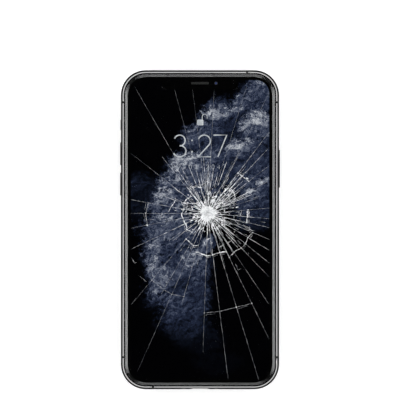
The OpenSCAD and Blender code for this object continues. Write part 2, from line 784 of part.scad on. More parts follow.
// Fine mesh strip behind the row of sound holes on the right
module mesh_strip(row) inside()
    along(-cav_y - 0.1, -cav_y + 0.2, sound_x0 + row / 2, z_mid)
        stadium(row + 2 * sound_hole_r + 1, 2 * sound_hole_r + 1);

module sound_meshes() color("#2b2b2d") {
    mesh_strip(speaker_row);
    mirror([1, 0, 0]) mesh_strip(microphone_row);
}

module edge_screws() color("#6a6c6e")
    for (x = [-1, 1]) translate([x * edge_screw_x, -end_y + 1.2, z_mid]) rotate([90, 0, 0])
        screw(edge_screw_r, edge_screw_head_r, 0.7, 1.2);

// ---------- card tray ----------

module card_reader() color("#b4b6b9")
    difference() {
        block([reader_x0, tray_y - tray_half_w - 0.9, z_board_top],
              [cav_x - 0.4, tray_y + tray_half_w + 0.9, reader_top]);
        block([reader_x0 + 0.5, tray_y - tray_half_w - 0.2, z_mid - tray_t / 2 - 0.15],
              [cav_x + 1, tray_y + tray_half_w + 0.2, z_mid + tray_t / 2 + 0.15]);
    }

module card_tray() color("#6d6e70")
    difference() {
        union() {
            // The face follows the half-round outside of the band
            intersection() {
                across(tray_face_x, side_x + 1, tray_y, z_mid) stadium(tray_face_w, tray_face_t);
                translate([side_x - band_r, tray_y + 20, z_mid]) rotate([90, 0, 0])
                    cylinder(r = band_r, h = 40);
            }
            across(tray_face_x - 0.9, tray_face_x + 0.1, tray_y, z_mid)
                stadium(tray_neck_w, tray_neck_t);
            block([tray_x0, tray_y - tray_half_w, z_mid - tray_t / 2],
                  [tray_face_x - 0.5, tray_y + tray_half_w, z_mid + tray_t / 2]);
        }
        // Recess for the card, on a narrow ledge
        block([tray_x0 + 1.6, tray_y - card_w / 2, z_mid - tray_t / 2 + 0.25],
              [tray_x0 + 1.6 + card_h, tray_y + card_w / 2, z_mid + tray_t]);
        block([tray_x0 + 2.4, tray_y - card_w / 2 + 0.8, z_mid - tray_t],
              [tray_x0 + 0.8 + card_h, tray_y + card_w / 2 - 0.8, z_mid + tray_t]);
        translate([tray_face_x - 2, tray_y - tray_face_w / 2 + 1.4, z_mid]) rotate([0, 90, 0])
            cylinder(r = eject_hole_r, h = 5);
    }

module tray_seal() color("#141415")
    difference() {
        across(tray_face_x - 0.7, tray_face_x - 0.2, tray_y, z_mid)
            stadium(tray_face_w + 0.1, tray_face_t + 0.1);
        across(tray_face_x - 1, tray_face_x, tray_y, z_mid) stadium(tray_neck_w, tray_neck_t);
    }

// ---------- buttons ----------

// Button on the right-hand side: face through the slot, flange in the pocket
module side_button(y, len, face_t = button_t, z = z_mid, proud = button_proud) {
    across(flange_out_x - 0.1, side_x + proud, y, z) stadium(len, face_t);
    across(flange_out_x - flange_t, flange_out_x, y, z)
        stadium(len + 2 * flange_grow, face_t + 2 * flange_rise);
}

module power_button() color("#77797b") side_button(power_y, power_len);
module volume_up_button() color("#77797b")
    mirror([1, 0, 0]) side_button(volume_up_y, volume_len);
module volume_down_button() color("#77797b")
    mirror([1, 0, 0]) side_button(volume_down_y, volume_len);
module ring_switch() color("#77797b")
    mirror([1, 0, 0]) side_button(switch_y, switch_len, paddle_t, z_switch, switch_proud);

// Housing behind the ring switch
module ring_switch_body() color("#2b2c2e")
    block([-cav_x, switch_y - 4.4, z_mid - 1.6], [-cav_x + 3.4, switch_y + 4.4, z_mid + 1.6]);

// Spring steel strip behind a button on the right, from y0 to y1
module bracket(y0, y1)
    block([cav_x - bracket_t, y0, z_mid - 1.4], [cav_x, y1, z_mid + 1.4]);

module power_bracket() color("#b4b6b9")
    bracket(power_y - power_len / 2 - 2.5, power_y + power_len / 2 + 2.5);
module volume_bracket() color("#b4b6b9") mirror([1, 0, 0])
    bracket(volume_down_y - volume_len / 2 - 2.5, volume_up_y + volume_len / 2 + 1.2);

// Dome switch that the button presses
module dome(y) across(cav_x, dome_top_x, y, z_mid) circle(1.2);
module power_dome() color("#d6d7d8") dome(power_y);
module volume_domes() color("#d6d7d8")
    mirror([1, 0, 0]) for (y = [volume_up_y, volume_down_y]) dome(y);

cover_glass();
optical_adhesive();
display_panel();
display_frame();
display_shield();
display_seal();
display_flex();
earpiece_mesh();
earpiece_speaker();
front_camera();
infrared_camera();
dot_projector();
proximity_sensor();
sensor_bracket();
main_frame();
antenna_inserts();
back_glass();
camera_bump();
lens_rings();
lens_windows();
wide_camera();
tele_camera();
flash_window();
flash_led();
rear_microphone();
battery();
battery_strips();
battery_flex();
charging_coil();
coil_shield();
logic_board();
processor_shield();
radio_shield();
board_connectors();
connector_cover();
board_screws();
charge_port();
port_tongue();
port_board();
loudspeaker();
vibration_motor();
bottom_microphone();
sound_meshes();
edge_screws();
card_reader();
card_tray();
tray_seal();
power_button();
volume_up_button();
volume_down_button();
ring_switch();
ring_switch_body();
power_bracket();
volume_bracket();
power_dome();
volume_domes();
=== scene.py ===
"""Touch-screen phone with a shattered cover glass, finished piece by piece."""
import json
import math
import random
from contextlib import contextmanager

import bmesh
import bpy
from mathutils import Euler, Matrix, Vector


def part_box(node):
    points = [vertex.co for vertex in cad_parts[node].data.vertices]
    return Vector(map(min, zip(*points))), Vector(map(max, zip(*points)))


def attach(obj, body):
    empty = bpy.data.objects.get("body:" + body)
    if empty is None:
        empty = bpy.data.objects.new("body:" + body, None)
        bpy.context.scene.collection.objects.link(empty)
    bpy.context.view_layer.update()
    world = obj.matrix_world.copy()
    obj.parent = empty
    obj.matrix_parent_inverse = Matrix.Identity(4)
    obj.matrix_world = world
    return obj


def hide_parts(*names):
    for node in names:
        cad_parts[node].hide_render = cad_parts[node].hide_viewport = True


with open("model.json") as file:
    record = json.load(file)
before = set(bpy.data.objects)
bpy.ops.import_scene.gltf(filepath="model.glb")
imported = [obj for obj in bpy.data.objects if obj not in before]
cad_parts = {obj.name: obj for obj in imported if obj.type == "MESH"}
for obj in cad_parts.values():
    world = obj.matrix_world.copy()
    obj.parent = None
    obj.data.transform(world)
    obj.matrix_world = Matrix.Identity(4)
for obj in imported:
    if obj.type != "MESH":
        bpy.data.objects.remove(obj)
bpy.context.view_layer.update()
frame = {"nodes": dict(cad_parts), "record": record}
mm = 0.001


# ---------------------------------------------------------------- steel band
# One machined ring of stainless steel with its chassis plate. The outside is half round,
# polished, then coated dark grey, so it mirrors its surroundings through a smoky tint and
# carries fine hairline scuffs from pockets and tables.
class Wire:
    """A value that runs between a finish's nodes, so that a finish is written as sums."""

    def __init__(self, finish, socket):
        self.finish = finish
        self.socket = socket

    def maths(self, operation, *terms):
        return self.finish.node("ShaderNodeMath", {"operation": operation}, dict(enumerate(terms)))

    def __add__(self, other):
        return self.maths("ADD", self, other)

    def __sub__(self, other):
        return self.maths("SUBTRACT", self, other)

    def __rsub__(self, other):
        return self.maths("SUBTRACT", other, self)

    def __mul__(self, other):
        return self.maths("MULTIPLY", self, other)

    def __truediv__(self, other):
        return self.maths("DIVIDE", self, other)

    def __pow__(self, power):
        return self.maths("POWER", self, power)

    def __neg__(self):
        return self.maths("MULTIPLY", self, -1.0)

    def size(self):
        return self.maths("ABSOLUTE", self)

    def least(self, other):
        return self.maths("MINIMUM", self, other)

    def most(self, other):
        return self.maths("MAXIMUM", self, other)

    def step(self, start, end, low=0.0, high=1.0):
        """Smooth climb from low to high while this goes from start to end."""
        return self.finish.node(
            "ShaderNodeMapRange",
            {"interpolation_type": "SMOOTHSTEP"},
            {"Value": self, "From Min": start, "From Max": end, "To Min": low, "To Max": high},
        )

    def wave(self, times):
        """Sine of this many times the value."""
        phase = self * times
        return phase.maths("SINE", phase)

    __radd__ = __add__
    __rmul__ = __mul__


class Finish:
    """A procedural material. Places are read in millimetres, in the phone's own frame."""

    def __init__(self, name):
        self.material = bpy.data.materials.new(name)
        self.material.use_nodes = True
        self.tree = self.material.node_tree
        self.tree.nodes.clear()
        metres = self.node("ShaderNodeTexCoord", output="Object")
        self.place = self.vector("SCALE", metres, Scale=1000.0)

    def node(self, kind, settings=None, sockets=None, output=0):
        made = self.tree.nodes.new(kind)
        for key, value in (settings or {}).items():
            if key == "stops":
                self.set_stops(made.color_ramp, value)
            else:
                setattr(made, key, value)
        for key, value in (sockets or {}).items():
            if isinstance(value, Wire):
                self.tree.links.new(value.socket, made.inputs[key])
            else:
                made.inputs[key].default_value = value
        return Wire(self, made.outputs[output])

    def set_stops(self, ramp, stops):
        while len(ramp.elements) < len(stops):
            ramp.elements.new(1.0)
        for element, (position, colour) in zip(ramp.elements, stops):
            element.position = position
            element.color = colour

    def vector(self, operation, *terms, output=0, **named):
        sockets = {**dict(enumerate(terms)), **named}
        return self.node("ShaderNodeVectorMath", {"operation": operation}, sockets, output)

    def axis(self, name, place=None):
        return self.node("ShaderNodeSeparateXYZ", None, {0: place or self.place}, name)

    def stretched(self, x, y, z, place=None):
        return self.vector("MULTIPLY", place or self.place, (x, y, z))

    def noise(self, scale, detail=3.0, rough=0.5, place=None, bend=0.0):
        sockets = {"Vector": place or self.place, "Scale": scale, "Detail": detail}
        sockets.update({"Roughness": rough, "Distortion": bend})
        return self.node("ShaderNodeTexNoise", None, sockets, "Fac")

    def cells(self, scale, feature="F1", place=None, output="Distance"):
        sockets = {"Vector": place or self.place, "Scale": scale}
        return self.node("ShaderNodeTexVoronoi", {"feature": feature}, sockets, output)

    def blend(self, share, first, second):
        sockets = {0: share, 6: first, 7: second}
        return self.node("ShaderNodeMix", {"data_type": "RGBA"}, sockets, 2)

    def ramp(self, value, *stops):
        return self.node("ShaderNodeValToRGB", {"stops": stops}, {0: value})

    def relief(self, height, depth_mm, strength=1.0):
        sockets = {"Height": height, "Distance": depth_mm * mm, "Strength": strength}
        return self.node("ShaderNodeBump", None, sockets, "Normal")

    def shader(self, **values):
        sockets = {key.replace("_", " "): value for key, value in values.items()}
        return self.node("ShaderNodeBsdfPrincipled", None, sockets)

    def away(self, x, y):
        """Distance in plan from the point x, y."""
        return ((self.axis("X") - x) ** 2.0 + (self.axis("Y") - y) ** 2.0) ** 0.5

    def coat(self, **values):
        return self.done(self.shader(**values))

    def glow(self, colour):
        """Lit from within and nearly black otherwise."""
        return self.coat(
            Base_Color=tone(1), Roughness=0.5, Specular_IOR_Level=0.0,
            Emission_Color=colour, Emission_Strength=1.0,
        )

    def done(self, surface):
        out = self.tree.nodes.new("ShaderNodeOutputMaterial")
        self.tree.links.new(surface.socket, out.inputs["Surface"])
        return self.material


def tone(red, green=None, blue=None):
    """A colour given as it looks on a screen, from 0 to 255, as a linear one."""
    given = (red, red if green is None else green, red if blue is None else blue)
    levels = [c / 255 for c in given]
    return (*[c / 12.92 if c < 0.04 else ((c + 0.055) / 1.055) ** 2.4 for c in levels], 1.0)


def new_object(name, data):
    made = bpy.data.objects.new(name, data)
    bpy.context.scene.collection.objects.link(made)
    return made


def settled(holder):
    """The mesh that an object's modifiers or curve give. The object itself is removed."""
    ready = holder.evaluated_get(bpy.context.evaluated_depsgraph_get())
    mesh = bpy.data.meshes.new_from_object(ready)
    bpy.data.objects.remove(holder)
    return mesh


@contextmanager
def reworked(mesh):
    edit = bmesh.new()
    edit.from_mesh(mesh)
    yield edit
    edit.to_mesh(mesh)
    edit.free()


# Corners closer than this are one corner
weld = 0.0005 * mm


def smooth_copy(node, name, material, body="phone"):
    """A welded copy of a CAD node with true shading on its curves. It stands for the node."""
    mesh = frame["nodes"][node].data.copy()
    with reworked(mesh) as edit:
        bmesh.ops.remove_doubles(edit, verts=edit.verts, dist=weld)
    mesh.shade_smooth()
    mesh.set_sharp_from_angle(angle=math.radians(28))
    mesh.materials.clear()
    mesh.materials.append(material)
    rough_piece = new_object(name, mesh)
    # Large flat faces keep their own direction beside narrow curved ones
    rough_piece.modifiers.new("shading", "WEIGHTED_NORMAL").keep_sharp = True
    return placed(name, settled(rough_piece), body, (node,))


def placed(name, mesh, body, replaces=()):
    """Puts a finished mesh in the scene, on its body, in the stead of the CAD nodes named."""
    mesh.name = name
    piece = new_object(name, mesh)
    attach(piece, body)
    if replaces:
        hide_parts(*replaces)
    return piece


def dress(material, *names):
    """Gives CAD nodes that keep their own mesh a finish."""
    for name in names:
        for held in frame["nodes"][name].material_slots:
            held.material = material


slots = {part["node"]: part["material_slot"] for part in frame["record"]["subparts"]}


back_low, glass_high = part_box("back_glass")[0] / mm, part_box("cover_glass")[1] / mm
band_mid = (back_low.z + glass_high.z) / 2
band_half = (glass_high.z - back_low.z) / 2


# rim is the tone of the painted shade round the middle of the band's section
def coated_steel(name, light, dark, polish=0.14, rim=44):
    made = Finish(name)
    cloud = made.noise(0.25, 4.0)
    hairs = made.noise(1.0, 6.0, 0.7, made.stretched(0.9, 0.9, 14.0))
    scuffs = made.noise(2.2, 8.0, 0.75, bend=0.4).step(0.62, 0.74)
    colour = made.blend(cloud.step(0.35, 0.65), tone(dark), tone(light))
    colour = made.blend(scuffs * 0.25, colour, tone(light + 30))
    # The colour is painted: dark round the widest part of the half-round section, a painted shade
    # that stands in for the shaded floor it would mirror, and light along its two shoulders, a
    # painted highlight
    lean = 1.0 - (made.axis("Z") - band_mid).size() / band_half
    painted_highlight = lean.step(0.14, 0.26) * lean.step(0.46, 0.34)
    colour = made.blend(painted_highlight * 0.6, colour, tone(246))
    # Painted shade: the middle of the section takes the dark rim tone
    colour = made.blend(lean.step(0.37, 0.47), colour, tone(rim))
    rough = hairs.step(0.3, 0.7, polish - 0.04, polish + 0.05) + scuffs * 0.12
    relief = made.relief(hairs + scuffs * 0.6, 0.004, 0.3)
    return made.coat(
        Base_Color=colour, Metallic=1.0, Roughness=rough, Normal=relief,
        Specular_Tint=tone(20), Specular_IOR_Level=0.0,
    )


band_finish = coated_steel("band_steel", 116, 100)
smooth_copy("main_frame", "steel_band", band_finish)


# ---------------------------------------------------------------- antenna inserts
# Six short pieces of glass-filled nylon moulded across the band. They are flush with the
# steel but matt, and a shade darker.
def matt_plastic(name, level, grain=3.0, rough=0.55, depth=0.006, sheen=0.5):
    made = Finish(name)
    pores = made.noise(grain, 6.0, 0.65)
    colour = made.blend(pores.step(0.35, 0.65), tone(level * 0.8), tone(level * 1.15))
    roughness = pores.step(0.3, 0.7, rough - 0.08, rough + 0.1)
    relief = made.relief(pores, depth, 0.5)
    return made.coat(
        Base_Color=colour, Roughness=roughness, Normal=relief, Specular_IOR_Level=sheen
    )


insert_finish = matt_plastic("insert_nylon", 22, rough=0.7, sheen=0.15)
smooth_copy("antenna_inserts", "antenna_strips", insert_finish)


# ---------------------------------------------------------------- buttons and ring switch
# Keys turned from the same coated steel. Each has a softly rounded face that stands proud
# of the band and a flange behind the wall that keeps it in.
# The keys use the band's painted shading; their faces lie within its middle, so the painted middle
# tone covers them
button_finish = coated_steel("button_steel", 132, 116, 0.34, rim=104)
flange_grow = 0.6
flange_rise = 0.4
flange_thick = 0.65


class Stock:
    """Points and faces of a mesh under construction, in millimetres."""

    def __init__(self):
        self.points = []
        self.faces = []
        self.glints = []

    def ring(self, points, glint=1.0):
        first = len(self.points)
        self.points.extend(tuple(p) for p in points)
        self.glints.extend([glint] * len(points))
        return list(range(first, len(self.points)))

    def skin(self, one, two):
        count = len(one)
        for i in range(count):
            j = (i + 1) % count
            self.faces.append((one[i], one[j], two[j], two[i]))

    def loft(self, rings):
        """A closed solid through rings of as many points each, flat at both ends."""
        laid = [self.ring(r) for r in rings]
        for one, two in zip(laid, laid[1:]):
            self.skin(one, two)
        self.faces.append(tuple(reversed(laid[0])))
        self.faces.append(tuple(laid[-1]))

    def piece(self, name, material, body="phone", slot=None, replaces=(), smooth=None):
        mesh = bpy.data.meshes.new(name)
        mesh.from_pydata([[c * mm for c in p] for p in self.points], [], self.faces)
        if any(g != 1.0 for g in self.glints):
            mesh.attributes.new("glint", "FLOAT", "POINT").data.foreach_set("value", self.glints)
        with reworked(mesh) as edit:
            bmesh.ops.recalc_face_normals(edit, faces=edit.faces)
        if smooth:
            mesh.shade_smooth()
            mesh.set_sharp_from_angle(angle=math.radians(smooth))
        mesh.materials.append(material)
        return placed(name, mesh, body, replaces)


def stadium(length, height, steps=12):
    """Outline with round ends, length along the first axis, centred on nothing."""
    r = height / 2
    turns = [math.pi * (k / steps - 0.5) for k in range(steps + 1)]
    right = [(length / 2 - r + r * math.cos(a), r * math.sin(a)) for a in turns]
    return right + [(-x, -z) for x, z in right]


def side_key(node, round_over=0.28):
    low, high = [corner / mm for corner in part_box(node)]
    mid_y, mid_z = (low.y + high.y) / 2, (low.z + high.z) / 2
    side = 1 if high.x > 0 else -1
    face, back = (high.x, low.x) if side > 0 else (low.x, high.x)
    length, height = high.y - low.y - 2 * flange_grow, high.z - low.z - 2 * flange_rise
    front = back + side * flange_thick
    shape = [(flange_grow, flange_rise, back), (flange_grow, flange_rise, front), (0, 0, front)]
    for k in range(6):
        turn = math.radians(18 * k)
        cut = -round_over * (1 - math.cos(turn))
        shape.append((cut, cut, face - side * round_over * (1 - math.sin(turn))))
    stock = Stock()
    rings = []
    for along, up, x in shape:
        outline = stadium(length + 2 * along, height + 2 * up)
        rings.append([(x, mid_y + y, mid_z + z) for y, z in outline])
    stock.loft(rings)
    stock.piece(node + "_key", button_finish, node, replaces=(node,), smooth=35)


for key in ("power_button", "volume_up_button", "volume_down_button", "ring_switch"):
    side_key(key)
smooth_copy("card_tray", "card_tray_steel", band_finish, "card_tray")
smooth_copy("tray_seal", "card_tray_seal", matt_plastic("tray_rubber", 26), "card_tray")


# ---------------------------------------------------------------- cover glass
# A sheet of hardened glass with a rounded rim. A blow beside the middle broke it into wedges
# that the adhesive still holds, each a hair off level, so that their reflections no longer meet.
def clear_glass(name, tint=(0.985, 0.992, 0.99, 1.0), index=1.5):
    made = Finish(name)
    smears = made.noise(0.09, 3.0, 0.6, made.stretched(1.0, 0.6, 1.0), 0.6)
    dust = made.noise(5.0, 2.0).step(0.7, 0.78)
    rough = smears.step(0.5, 0.75, 0.0, 0.03) + dust * 0.06
    glass = made.shader(
        Base_Color=tint, Roughness=rough, IOR=index, Transmission_Weight=1.0,
        Specular_Tint=(0.6, 0.6, 0.62, 1.0),
    )
    open_glass = made.node("ShaderNodeBsdfTransparent", None, {"Color": (0.93, 0.94, 0.94, 1.0)})
    lamp_ray = made.node("ShaderNodeLightPath", output="Is Shadow Ray")
    mixed = made.node("ShaderNodeMixShader", None, {0: lamp_ray, 1: glass, 2: open_glass})
    return made.done(mixed)


z_glass, z_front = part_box("cover_glass")[0].z / mm, glass_high.z
shards = smooth_copy("cover_glass", "cover_shards", clear_glass("cover_glass_clear"))


def settle_shards(piece, most_drop=0.03, seed=5):
    """Tips each loose shard a little, about a level line through its middle."""
    chance = random.Random(seed)
    with reworked(piece.data) as edit:
        # Walked in the order of the corners, so that every run tips each shard alike
        waiting = set(edit.verts)
        groups = []
        for first in edit.verts:
            if first not in waiting:
                continue
            waiting.discard(first)
            found, reach = [], [first]
            while reach:
                vert = reach.pop()
                found.append(vert)
                for edge in vert.link_edges:
                    other = edge.other_vert(vert)
                    if other in waiting:
                        waiting.discard(other)
                        reach.append(other)
            groups.append(found)
        groups.sort(key=len)
        for group in groups[:-1]:
            middle = sum((v.co for v in group), Vector()) / len(group)
            spread = max((v.co - middle).length for v in group)
            heading = chance.uniform(0, 2 * math.pi)
            slope = chance.uniform(0.3, 1.0) * 0.5 * most_drop * mm / spread
            lean = Vector((math.cos(heading), math.sin(heading), 0)) * slope
            for vert in group:
                vert.co.z += (vert.co - middle).dot(lean) - slope * spread


settle_shards(shards)


# ---------------------------------------------------------------- cracks
# Each crack is a thin slanting wall through the glass whose rough faces scatter light, so it
# shows as a white line. Long ones run out from the blow, others cross them in rings, and
# near the blow hundreds of short ones crowd together.
impact = Vector((3.5, 7.4))
# Direction in degrees, reach, and how boldly it shows
RAYS = [
    (5, 40, 0.7), (17, 24, 0.5), (28, 40, 0.6), (38, 40, 1.0), (47, 60, 1.6), (53, 60, 1.6),
    (63, 70, 0.8), (73, 60, 0.5), (87, 60, 0.9), (97, 60, 0.5), (105, 60, 0.6), (120, 66, 0.9),
    (129, 33, 0.9), (142, 60, 0.6), (156, 18, 0.6), (170, 40, 1.0), (180, 40, 0.7),
    (191, 40, 0.6), (205, 45, 1.3), (218, 20, 0.8), (230, 60, 0.6), (240, 42, 0.8),
    (246, 78, 0.7), (254, 42, 0.7), (268, 63, 0.9), (277, 80, 1.1), (287, 80, 1.1),
    (296, 70, 1.2), (304, 60, 0.9), (314, 45, 0.8), (321, 40, 1.1), (329, 40, 1.5),
    (337, 40, 0.9), (347, 40, 0.8), (355, 40, 1.0),
]
# Radius, first ray, last ray and boldness of each crack that crosses the others
ARCS = [
    (8, 3, 7, 1.4), (8, 27, 33, 1.2), (13.5, 9, 12, 0.4), (11.4, 13, 20, 1.6),
    (15.5, 20, 23, 1.6), (14.5, 2, 5, 1.2), (18.8, 23, 27, 1.7), (21.6, 27, 32, 1.0),
    (18.2, 33, 35, 1.5), (27.7, 15, 17, 1.2), (23, 3, 5, 1.5), (39.6, 20, 23, 0.8),
    (44.6, 24, 27, 0.8),
]
lit_x, lit_y = 31.2, 67.5
notch_half, notch_y = 17.2, 63.2
crack_chance = random.Random(11)


def ray_angle(i):
    return math.radians(RAYS[i % len(RAYS)][0] + 360 * (i // len(RAYS)))


def ray_point(i, r):
    uneven = 0.55 * math.sin(math.radians(137 * (i % len(RAYS))))
    return impact + (r + uneven) * Vector((math.cos(ray_angle(i)), math.sin(ray_angle(i))))


def to_border(angle):
    """Distance from the blow to the edge of the lit area or to the notch."""
    c, s = math.cos(angle), math.sin(angle)
    to_side = abs((math.copysign(lit_x, c) - impact.x) / c)
    to_end = abs((math.copysign(lit_y, s) - impact.y) / s)
    reach = min(to_side, to_end)
    if s > 0 and abs(impact.x + (notch_y - impact.y) * c / s) < notch_half:
        reach = min(reach, (notch_y - impact.y) / s)
    return reach


def wall(stock, path, widths, top, bottom, leans, glints):
    """A thin wall along a path. Its foot stands beside its top by the lean at each point."""
    rings = []
    for i, point in enumerate(path):
        ahead, behind = path[min(i + 1, len(path) - 1)], path[max(i - 1, 0)]
        side = Vector((behind.y - ahead.y, ahead.x - behind.x)).normalized()
        left, right = point + side * widths[i] / 2, point - side * widths[i] / 2
        shift = side * leans[i]
        corners = [(*left, top), (*right, top)]
        corners += [(*(right + shift), bottom), (*(left + shift), bottom)]
        rings.append(stock.ring(corners, glints[i]))
    for one, two in zip(rings, rings[1:]):
        stock.skin(one, two)
    stock.faces.append(tuple(reversed(rings[0])))
    stock.faces.append(tuple(rings[-1]))


def crack(stock, path, near, far, fade, shine=1.0, depth=0.3):
    """One crack, near wide at the blow and far wide away from it. It thins at its ends."""
    top = z_front - 0.05 - crack_chance.uniform(0, 0.02)
    side = crack_chance.choice((-1, 1))
    last = len(path) - 1
    widths, leans, glints = [], [], []
    for i, point in enumerate(path):
        away = (point - impact).length
        taper = min(1.0, (i + 0.3) / 1.5, (last - i + 0.3) / 2.5)
        across = (far + (near - far) * math.exp(-away / fade)) * crack_chance.uniform(0.4, 1.6)
        widths.append(0.03 + 0.45 * across * taper)
        leans.append(side * 0.4 * across * taper)
        # Painted glint: each point's brightness, kept as glint and painted into the fracture's
        # colour, is highest near the blow and drops to dim stretches at random
        glint_dimming = 0.15 if crack_chance.random() < 0.38 else 1.0
        level = shine * (0.2 + 1.9 * math.exp(-away / 16)) * crack_chance.uniform(0.6, 1.25)
        glints.append(min(1.0, glint_dimming * level))
    wall(stock, path, widths, top, top - depth, leans, glints)


def straight(start, end, step=0.9, jitter=0.05):
    count = max(2, int((end - start).length / step))
    across = Vector((start.y - end.y, end.x - start.x)).normalized()
    path = [start.lerp(end, k / count) for k in range(count + 1)]
    return [p + across * crack_chance.uniform(-jitter, jitter) for p in path]


def outward(degrees, start, end, step=0.9, jitter=0.05):
    """Path straight out from the blow, cut off where the lit area ends."""
    turn = math.radians(degrees)
    out = Vector((math.cos(turn), math.sin(turn)))
    end = min(end, to_border(turn))
    return straight(impact + out * start, impact + out * max(end, start + 0.5), step, jitter)


long_cracks = Stock()
for i, (degrees, reach, bold) in enumerate(RAYS):
    path = outward(degrees, 3.2, reach)
    crack(long_cracks, path, 0.85 * bold ** 0.5, 0.075 * bold, 3.4, 0.75 + 0.4 * bold)
    # A second break often runs close beside the first for part of its way
    if bold >= 0.8:
        beside = degrees + crack_chance.uniform(0.7, 1.6) * crack_chance.choice((-1, 1))
        span = reach * crack_chance.uniform(0.2, 0.45)
        crack(long_cracks, outward(beside, 4.4, span), 0.3, 0.04, 4.5, 0.6)

ring_cracks = Stock()
for radius, first, last, bold in ARCS:
    for i in range(first, last):
        path = straight(ray_point(i, radius), ray_point(i + 1, radius), 0.55, 0.13)
        crack(ring_cracks, path, 0.4 * bold, 0.13 * bold, 16, 1.5)
        # Some stretches are doubled by a thinner break just outside
        if crack_chance.random() < 0.45:
            one, two = ray_point(i, radius + 0.9), ray_point(i + 1, radius + 0.7)
            crack(ring_cracks, straight(one, one.lerp(two, 0.7), 0.5, 0.15), 0.2, 0.08, 18)

# Rings and rungs that join fewer cracks: points in millimetres, then boldness
RUNGS = [
    ([(6.0, 11.0), (8.3, 14.4), (10.6, 16.8), (12.9, 18.9)], 1.7),
    ([(9.8, 11.6), (11.2, 13.6), (13.4, 15.6), (15.3, 17.4)], 1.2),
    ([(12.9, 18.9), (15.3, 17.4)], 1.8), ([(8.3, 14.4), (9.6, 13.2), (11.2, 13.6)], 1.6),
    ([(10.6, 16.8), (11.9, 15.4), (13.4, 15.6)], 1.5),
    ([(6.4, 11.6), (10.2, 12.3), (11.4, 11.2)], 1.9),
    ([(3.4, 15.7), (4.2, 17.2), (5.4, 16.3), (4.8, 14.9), (3.9, 14.3)], 1.2),
    ([(-6.5, 12.3), (-4.5, 11.8), (-1.1, 11.8), (0.5, 10.2)], 1.7),
    ([(-11.0, 14.3), (-11.3, 12.9), (-13.3, 9.8), (-14.2, 8.1)], 1.3),
    ([(-17.0, 7.5), (-17.8, 4.4)], 1.1), ([(-3.1, 18.9), (-1.7, 19.4), (0.5, 18.9)], 1.7),
    ([(-5.0, 17.4), (-3.1, 15.7), (-2.4, 14.4)], 1.3),
    ([(20.9, 8.4), (22.2, 8.2), (21.5, 5.9), (20.9, 8.4)], 1.1), ([(22.4, 1.6), (22.1, -0.3)], 1.2),
    ([(-31.0, -12.6), (-29.6, -15.0), (-28.6, -14.6)], 0.7),
    ([(16.0, -15.4), (17.2, -18.2), (18.4, -17.4)], 0.7),
    ([(-27.0, -21.0), (-24.2, -23.6)], 0.5), ([(5.4, 11.6), (5.0, 13.2), (6.2, 14.2)], 1.5),
]
for points, bold in RUNGS:
    spots = [Vector(p) for p in points]
    for one, two in zip(spots, spots[1:]):
        crack(ring_cracks, straight(one, two, 0.5, 0.12), 0.44 * bold, 0.16 * bold, 16, 1.7)

fine_cracks = Stock()
# Shorter breaks between the long ones, spread evenly round the blow
sectors = 21
for k in range(sectors):
    degrees = 360 * (k + crack_chance.uniform(0.1, 0.9)) / sectors
    start = crack_chance.uniform(3.3, 4.8)
    end = start + 1.5 + crack_chance.expovariate(1 / 5.5)
    if 185 < degrees < 265 and crack_chance.random() < 0.6:
        continue
    path = outward(degrees, start, min(end, 26), 0.7)
    crack(fine_cracks, path, crack_chance.uniform(0.25, 0.6), 0.05, 4.4)
# Loose needles farther out, most of them to the right and below
needles, chips, steps_across = 125, 64, 48
for _ in range(needles):
    degrees = crack_chance.choice((crack_chance.uniform(-65, 60), crack_chance.uniform(0, 360)))
    start = 6.5 + crack_chance.expovariate(1 / 6.5)
    end = start + crack_chance.uniform(0.8, 4.5)
    if end < min(32, to_border(math.radians(degrees))):
        path = outward(degrees, start, end, 0.6)
        crack(fine_cracks, path, 0.24, 0.05, 8.0, crack_chance.uniform(0.6, 1.8))
# Long fine breaks, a fan of them above the blow and some to its right and below: first and
# last direction, count and length
FANS = [(15, 75, 18, 12), (75, 125, 11, 11), (125, 165, 4, 8), (285, 345, 9, 7)]
for low, high, count, length in FANS:
    for _ in range(count):
        degrees = crack_chance.uniform(low, high)
        start = crack_chance.uniform(6, 15)
        end = start + crack_chance.uniform(0.5, 1.5) * length
        path = outward(degrees, start, end, 0.8)
        crack(fine_cracks, path, 0.22, 0.12, 12.0, crack_chance.uniform(0.9, 1.7))
# Short chips on the breaks' edges, the brightest of all
for _ in range(chips):
    degrees = crack_chance.uniform(0, 360)
    start = 4.3 + crack_chance.expovariate(1 / 3.4)
    path = outward(degrees, start, start + crack_chance.uniform(0.5, 1.5), 0.3, 0.1)
    if start < 15:
        crack(fine_cracks, path, crack_chance.uniform(0.5, 1.3), 0.3, 12.0, 3.0)
# Short steps from one break to the next, close in
for _ in range(steps_across):
    i = crack_chance.randrange(len(RAYS))
    radius = 4.4 + crack_chance.expovariate(1 / 3.5)
    one, two = ray_point(i, radius), ray_point(i + 1, radius + crack_chance.uniform(-0.8, 0.8))
    if radius < 19 and (two - one).length < 4:
        crack(fine_cracks, straight(one, two, 0.5, 0.16), 0.8, 0.1, 6.5, 1.4)


def fracture(name, bright, dull):
    made = Finish(name)
    glint = made.node("ShaderNodeAttribute", {"attribute_name": "glint"}, output="Fac")
    facets = made.noise(2.5, 4.0, 0.6)
    # Painted glint: the colour runs from the dull tone to white by the glint that crack() paints on
    # each point
    share = (glint * facets.step(0.3, 0.5, 0.6, 1.1)).least(1.0)
    colour = made.blend(share, tone(*dull), tone(*bright))
    rough = facets.step(0.3, 0.7, 0.25, 0.5)
    relief = made.relief(facets, 0.02, 0.6)
    return made.coat(Base_Color=colour, Roughness=rough, Normal=relief)


fracture_finish = fracture("fracture_face", (250, 251, 253), (40, 44, 54))
for cracks, name in (
    (long_cracks, "long_cracks"), (ring_cracks, "ring_cracks"), (fine_cracks, "fine_cracks")
):
    cracks.piece(name, fracture_finish, slot="cover_glass")


# ---------------------------------------------------------------- flakes at the crossings
# Where cracks meet, flat flakes have popped off the edges and show as small white corners.
flakes = Stock()


